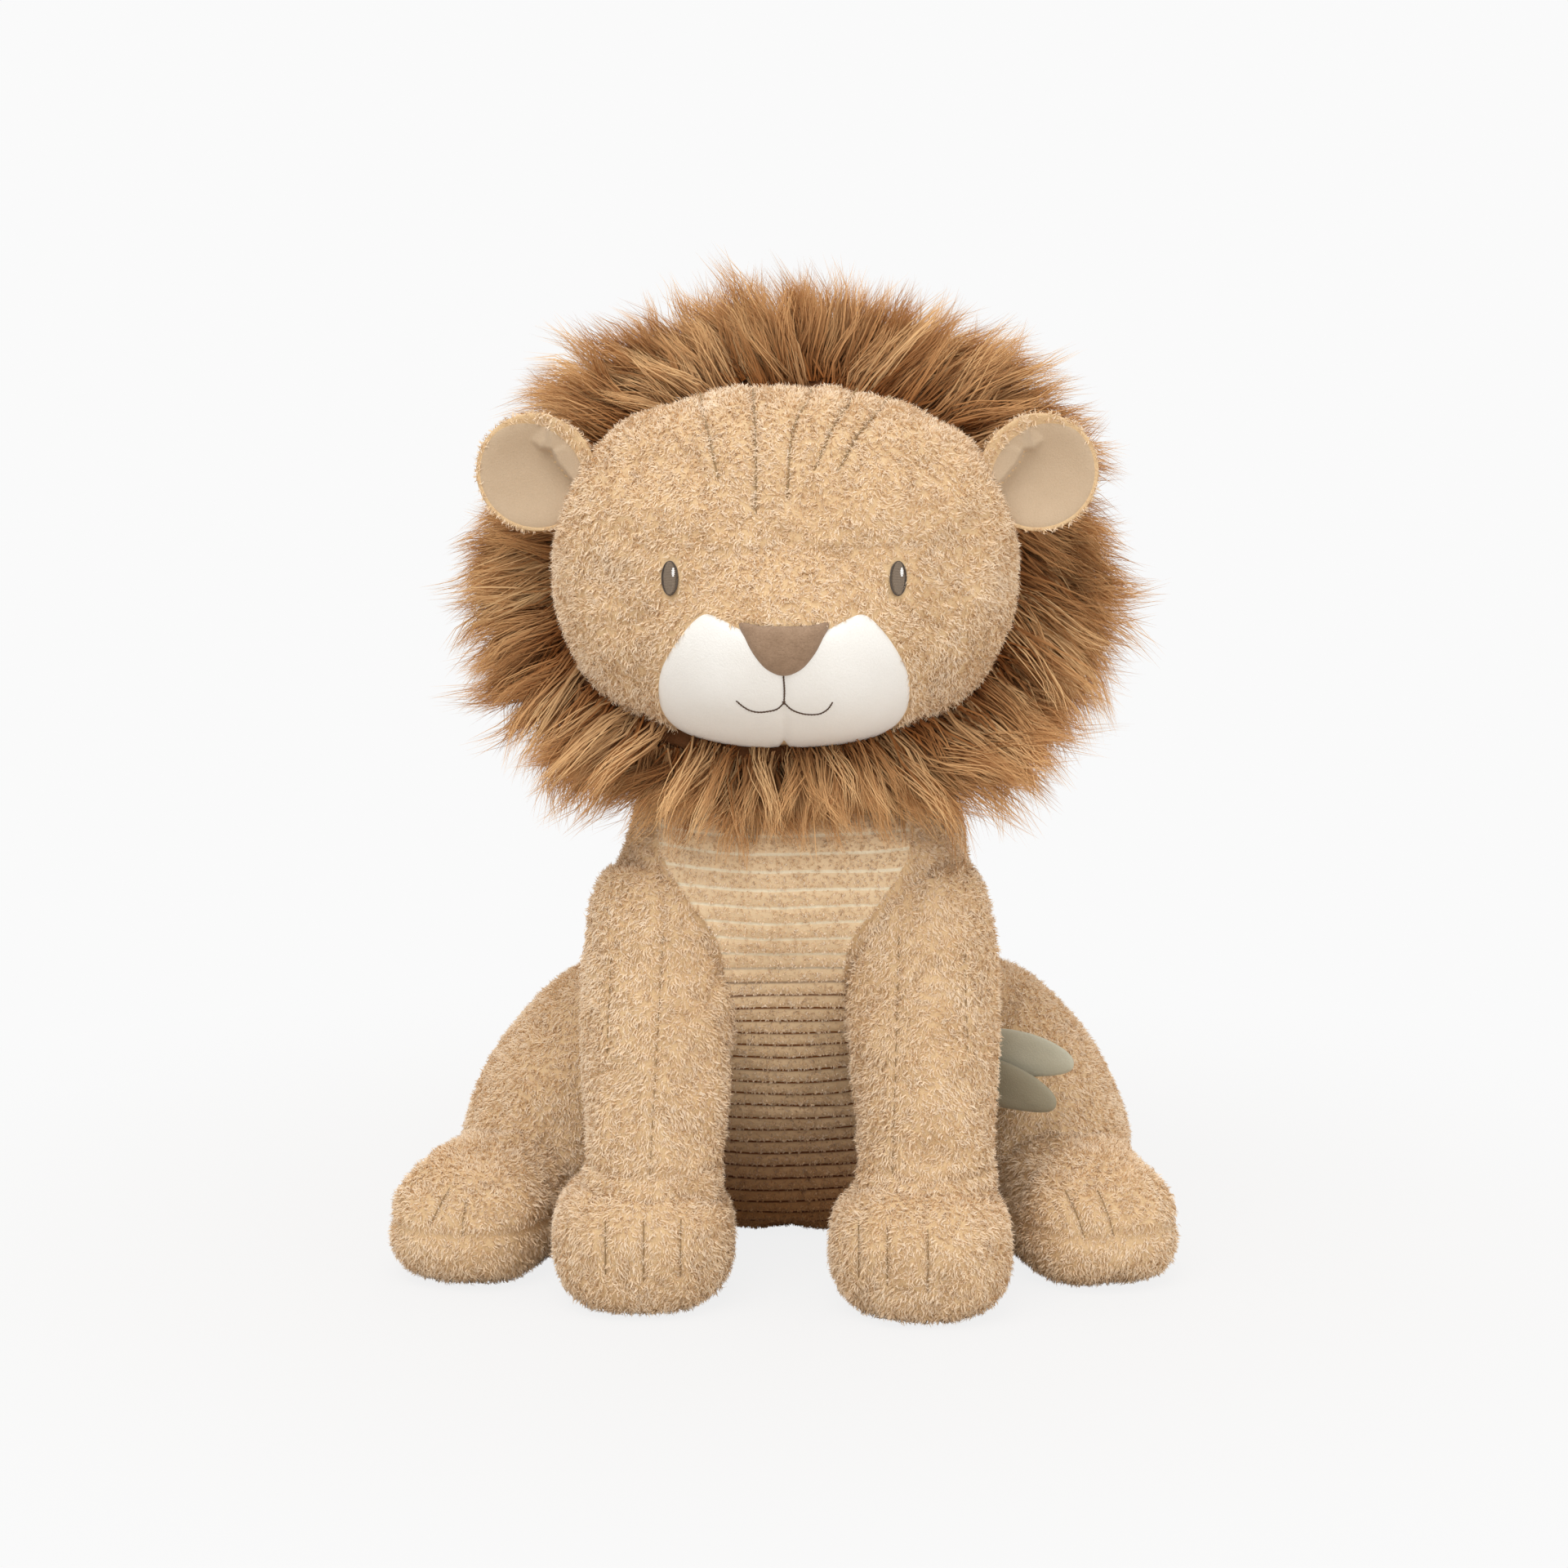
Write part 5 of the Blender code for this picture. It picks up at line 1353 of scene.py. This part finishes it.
manePieces = []
for layer in range(mane["layers"]):
    manePieces.append(plantPile(f"manePile_{layer}", maneSkin, maneTufts, manePile, 60 + layer,
                                Density=mane["density"] / mane["layers"], Lift=mane["lift"], Lean=mane["lean"],
                                Scatter=mane["scatter"], Roll=mane["roll"], Smallest=0.72,
                                Largest=1.12, Clear=noClear, Parting=0.0001,
                                **{"Patch Scale": 26.0, "Patch Share": 1.3}))
keep(maneSkin, "head", "long_pile", "mane", finish=maneGround)
for piece in manePieces:
    keep(piece, "head", "long_pile")
print("mane planted")


ear = {
    "base": Vector((0.124, stance - 0.060, 0.472)), "lean": math.radians(16.5), "length": 0.058, "halfWidth": 0.034,
    "halfThickness": 0.0055, "cup": 0.013, "cupShare": 0.4, "middleShare": 0.40, "thickPower": 2.4, "cuts": 18,
    "crease": [(0.26, 0.50), (0.05, 0.40), (-0.127, 0.435), (-0.31, 0.24), (-0.526, 0.09), (-0.66, 0.02)],
    "flap": 0.010,
}


def earSpot(side, x, z, depth):
    # a point of the ear from its disc: x from base to tip, z up, depth back from the front
    along = mirrored(Vector((math.cos(ear["lean"]), 0, math.sin(ear["lean"]))), side)
    upward = mirrored(Vector((-math.sin(ear["lean"]), 0, math.cos(ear["lean"]))), side)
    length = ear["length"] * (ear["middleShare"] + (1 - ear["middleShare"]) * x)
    return limbPoint("ear", ear["base"], side) + along * length + upward * (ear["halfWidth"] * z) + Vector((0,
        depth, 0))


def flapRise(x, z):
    # the inner upper edge is rolled forward along a crease
    best, rise = 9.0, 0.0
    line = ear["crease"]
    for k, (start, end) in enumerate(zip(line, line[1:])):
        along = (end[0] - start[0], end[1] - start[1])
        span = along[0] ** 2 + along[1] ** 2
        t = min(1.0, max(0.0, ((x - start[0]) * along[0] + (z - start[1]) * along[1]) / span))
        gap = math.hypot(x - start[0] - along[0] * t, z - start[1] - along[1] * t)
        if gap < best:
            best = gap
            way = along[0] * (z - start[1]) - along[1] * (x - start[0])
            inner = 1 if way < 0 else -1
            share = min(1.0, max(0.0, (k + t) / 2.2))
            step = min(1.0, max(0.0, 0.5 + inner * gap / 0.09))
            rise = ear["flap"] * share * step**2 * (3 - 2 * step)
    return rise


def earDepth(x, z, front):
    rim = math.hypot(x, z)
    thick = ear["halfThickness"] * max(0.0, 1 - min(rim, 1) ** ear["thickPower"]) ** (1 / ear["thickPower"])
    depth = ear["cup"] * (ear["cupShare"] - rim**2)
    return depth - flapRise(x, z) + (-thick if front else thick)


def makeEar(side, sideName):
    def shellPlace(x, y, z):
        return earSpot(side, x, z, earDepth(x, z, y < 0))

    shell = makeForm(f"earShell_{sideName}", shellPlace, ear["cuts"])
    around, rings = 120, 26
    cage = bmesh.new()
    rows = []
    for ring in range(rings + 1):
        row = []
        for k in range(around):
            angle = math.tau * k / around
            toTop = max(0.0, math.cos(angle - math.radians(122))) ** 1.1
            reach = (1.0 - 0.21 * toTop) * (ring / rings)
            x, z = reach * math.cos(angle), reach * math.sin(angle)
            lift = 0.0016 * (1 - (ring / rings) ** 6) - 0.0012 * (ring / rings) ** 12
            row.append(cage.verts.new(earSpot(side, x, z, earDepth(x, z, True) - lift)))
        rows.append(row)
    for inner, outer in zip(rows, rows[1:]):
        for k in range(around):
            after = (k + 1) % around
            cage.faces.new((inner[k], outer[k], outer[after], inner[after]))
    bmesh.ops.remove_doubles(cage, verts=cage.verts, dist=1e-6)
    bmesh.ops.recalc_face_normals(cage, faces=cage.faces)
    cage.faces.ensure_lookup_table()
    if cage.faces[0].normal.y > 0:
        bmesh.ops.reverse_faces(cage, faces=cage.faces)
    lining = makeObject(f"earLining_{sideName}", cage)
    setFlow(shell, hiddenShare(shell, ["head"], 0.004), 0.2, 0.8)
    pile = list(dressTerry(f"earPile_{sideName}", shell, 70 + side,
                           makeClear(f"earClear_{sideName}", [], [(lining, 0.95)], shell), 1,
                           Smallest=0.65, Largest=0.95, Density=300000))
    body = f"ear_{sideName}"
    keep(shell, body, "terry", f"ear_{sideName}", finish=terryGround, fill=0.2)
    keep(lining, body, "beige_velour", f"ear_lining_{sideName}", finish=beigeVelour)
    for piece in pile:
        keep(piece, body, "terry")
    return shell, lining


for side, sideName in sides:
    makeEar(side, sideName)
print("ears sewn on")


tail = {
    "radius": 0.011, "root": Vector((0, stance + 0.182, 0.044)), "length": 0.150, "bow": 0.024, "back": 0.040,
    "lift": 0.007, "tuftLength": 0.052, "tuftRadius": 0.012, "density": 60000,
    "kinds": 5, "strands": 14, "hair": 0.026, "width": 0.0010, "spread": 0.004, "gather": 0.9, "bend": 0.2,
    "curl": 0.05, "wave": 0.04, "turn": 1.3, "steps": 3, "seed": 9,
}


def tailSpot(share):
    share = max(0.0, min(1.0, share))
    return Vector((-tail["length"] * share**1.5, tail["root"].y + tail["bow"] * (1 - (1 - share) ** 6)
                   - tail["back"] * share**2,
                   tail["radius"] + (tail["root"].z - tail["radius"]) * (1 - share) ** 2 + tail["lift"] * share**3))


def alongTail(share):
    ahead = (tailSpot(share + 0.001) - tailSpot(share - 0.001)).normalized()
    level = ahead.cross(Vector((0, 0, 1))).normalized()
    return tailSpot(share), ahead, level, level.cross(ahead)


def tailPlace(x, y, z):
    middle, _, level, upward = alongTail((1 + z) / 2)
    around = math.hypot(x, y) or 1
    return middle + (level * x + upward * y) * (tail["radius"] * fullness((1 + z) / 2, 14) / around)


tailSkin = makeForm("tailSkin", tailPlace, 26)
setFlow(tailSkin, hiddenShare(tailSkin, ["torso"], 0.004))
tailPile = list(dressTerry("tailPile", tailSkin, 81, noClear))
end, ahead, _, _ = alongTail(1)
tuftMiddle = Vector((end.x, end.y, 0.0185)) + ahead * 0.020
turning = ahead.to_track_quat("Z", "Y").to_matrix()
tuftSkin = makeForm("tuftSkin", lambda x, y, z: tuftMiddle + turning @ Vector(
    (tail["tuftRadius"] * x, tail["tuftRadius"] * y, tail["tuftLength"] / 2 * z)), 12)
places = readVertices(tuftSkin)
setField(tuftSkin, "flow", np.tile(tuple(ahead), (len(places),
                                                  1)) + 0.25 * np.array([noise.noise_vector(Vector(p) * 60)
                                                      for p in places]))
setField(tuftSkin, "bare", (places[:, 2] < 0.002).astype(float))
setField(tuftSkin, "lengthShare", np.ones(len(places)))
tailTufts = makeTufts("tailTuft", *[tail[k] for k in ("kinds", "strands", "hair", *tuftKeys[3:])])
tuftPile = plantPile("tuftPile", tuftSkin, tailTufts, manePile, 82, Density=tail["density"], Lift=0.22, Lean=1.0,
                     Scatter=0.1, Roll=0.5, Smallest=0.7, Largest=1.0, Clear=noClear, Parting=0.0001,
                     **{"Patch Scale": 40.0, "Patch Share": 1.0})
keep(tailSkin, "tail", "terry", "tail", finish=terryGround, fill=0.7)
keep(tuftSkin, "tail", "long_pile", "tail_tuft", finish=maneGround)
keep(tuftPile, "tail", "long_pile")
for piece in tailPile:
    keep(piece, "tail", "terry")
print("tail made")


leaf = {
    "halfWidth": 0.0147, "halfThickness": 0.0031, "sweep": math.radians(20), "power": 0.42,
    "seamY": stance - 0.024, "seamZ": 0.1205, "step": 0.0078, "drop": 0.0070, "rootDepth": 0.005, "arch": 0.0050,
    "upper": (0.0935, -2), "lower": (0.0960, 8),  # length, and degrees that it droops
}


def makeLeaf(name, root, length, droop, finish, node, slotName):
    along = Vector((math.cos(leaf["sweep"]), -math.sin(leaf["sweep"]), -math.tan(math.radians(droop)))).normalized()
    through = Vector((0, 0, 1)).cross(along).normalized()
    across = along.cross(through)

    def place(x, y, z):
        # x along the leaf, z across it and y through it
        rim = min(1.0, math.hypot(x, z))
        share = (1 + x) / 2
        wide = math.sin(math.pi * min(0.9995, max(0.0005, share))) ** leaf["power"]
        side = z / math.sqrt(max(1e-6, 1 - x * x)) if abs(x) < 1 else 0.0
        thick = leaf["halfThickness"] * (1 - rim**5) ** 0.6 + 0.0004
        arch = leaf["arch"] * (1 - (2 * share - 1) ** 2)
        wrinkle = 0.0005 * noise.noise(Vector((x * 2.6, z * 1.6, root.z * 90)))
        middle = root + along * (length * share - leaf["rootDepth"]) + across * (leaf["halfWidth"] * wide * side
            + arch)
        return middle + through * ((1 if y > 0 else -1) * thick * min(1.0, abs(y) * 4) + wrinkle)

    made = makeForm(name, place, 24)
    keep(made, "leaves", slotName, node, finish=finish, fill=0.5)
    return made


upperRoot = onFlank(leaf["seamY"] + leaf["step"], leaf["seamZ"])
lowerRoot = onFlank(leaf["seamY"], leaf["seamZ"] - leaf["drop"])
makeLeaf("leafUpper", upperRoot, *leaf["upper"], sageVelour, "leaf_upper", "sage_velour")
# the lower leaf takes the sage with painted shade
makeLeaf("leafLower", lowerRoot, *leaf["lower"], sageShadedVelour, "leaf_lower", "dark_sage_velour")
print("leaves sewn on")


studio = {
    "distance": 2.4, "elevation": math.radians(10), "target": Vector((0, stance, 0.28467)), "lens": 91.84,
    "world": 0.76, "backdrop": (0.957, 0.957, 0.957, 1), "floorColour": (0.62, 0.57, 0.52, 1),
    "shadowReach": (0.2, 0.75), "shadowShare": 0.88,  # the floor's shadow fades out between these distances
    # place, size and power of each lamp
    "lamps": {"key": ((-0.5, -1.3, 2.2), 1.7, 31), "fill": ((1.7, -1.4, 0.9), 1.6, 10),
              "back": ((0.4, 1.8, 1.7), 1.4, 10)},
}


def makeWorld():
    world = bpy.data.worlds.new("studio")
    world.use_nodes = True
    tree = world.node_tree
    tree.nodes.clear()
    rays = addNode(tree, "ShaderNodeLightPath").outputs
    shiny = plainMath(tree, "MAXIMUM", rays["Is Glossy Ray"], rays["Is Transmission Ray"])
    seen = plainMath(tree, "MAXIMUM", rays["Is Camera Ray"], shiny)
    white = addNode(tree, "ShaderNodeBackground", {"Color": studio["backdrop"], "Strength": 1.0})
    lit = addNode(tree, "ShaderNodeBackground", {"Color": (1, 1, 1, 1), "Strength": studio["world"]})
    both = addNode(tree, "ShaderNodeMixShader", {0: seen, 1: lit.outputs[0], 2: white.outputs[0]})
    addNode(tree, "ShaderNodeOutputWorld", {0: both.outputs[0]})
    scene.world = world


def makeLamps():
    for name, (place, size, power) in studio["lamps"].items():
        light = bpy.data.lights.new(name, "AREA")
        light.size = size
        light.energy = power
        lamp = bpy.data.objects.new(name, light)
        lamp.location = place
        lamp.rotation_euler = (studio["target"] - Vector(place)).to_track_quat("-Z", "Y").to_euler()
        scene.collection.objects.link(lamp)


def makeFloor():
    # pale to the camera, but it keeps the toy's shadow close by
    plane = bmesh.new()
    bmesh.ops.create_grid(plane, x_segments=1, y_segments=1, size=6)
    floor = makeObject("floor", plane)
    material = bpy.data.materials.new("pale floor")
    material.use_nodes = True
    tree = material.node_tree
    tree.nodes.clear()
    seen = addNode(tree, "ShaderNodeLightPath").outputs["Is Camera Ray"]
    plain = addNode(tree, "ShaderNodeBsdfDiffuse", {"Color": studio["floorColour"]})
    glow = addNode(tree, "ShaderNodeEmission", {"Color": studio["backdrop"], "Strength": 1.0})
    away = vectorMath(tree, "LENGTH", addNode(tree, "ShaderNodeTexCoord").outputs["Object"])
    near, far = studio["shadowReach"]
    fade = {"Value": away, "From Min": near, "From Max": far, "To Min": studio["shadowShare"], "To Max": 1.0}
    clear = addNode(tree, "ShaderNodeMapRange", fade, interpolation_type="SMOOTHSTEP").outputs[0]
    share = plainMath(tree, "MULTIPLY", seen, clear)
    both = addNode(tree, "ShaderNodeMixShader", {0: share, 1: plain.outputs[0], 2: glow.outputs[0]})
    addNode(tree, "ShaderNodeOutputMaterial", {0: both.outputs[0]})
    floor.data.materials.append(material)


def makeCamera():
    lens = bpy.data.cameras.new("camera")
    lens.lens = studio["lens"]
    lens.sensor_width = 36
    camera = bpy.data.objects.new("camera", lens)
    back = Vector((0, -math.cos(studio["elevation"]), math.sin(studio["elevation"])))
    camera.location = studio["target"] + back * studio["distance"]
    camera.rotation_euler = (-back).to_track_quat("-Z", "Y").to_euler()
    scene.collection.objects.link(camera)
    scene.camera = camera


makeWorld()
makeLamps()
makeFloor()
makeCamera()
scene.view_settings.view_transform = "Standard"
bpy.context.view_layer.update()
print("scene ready")
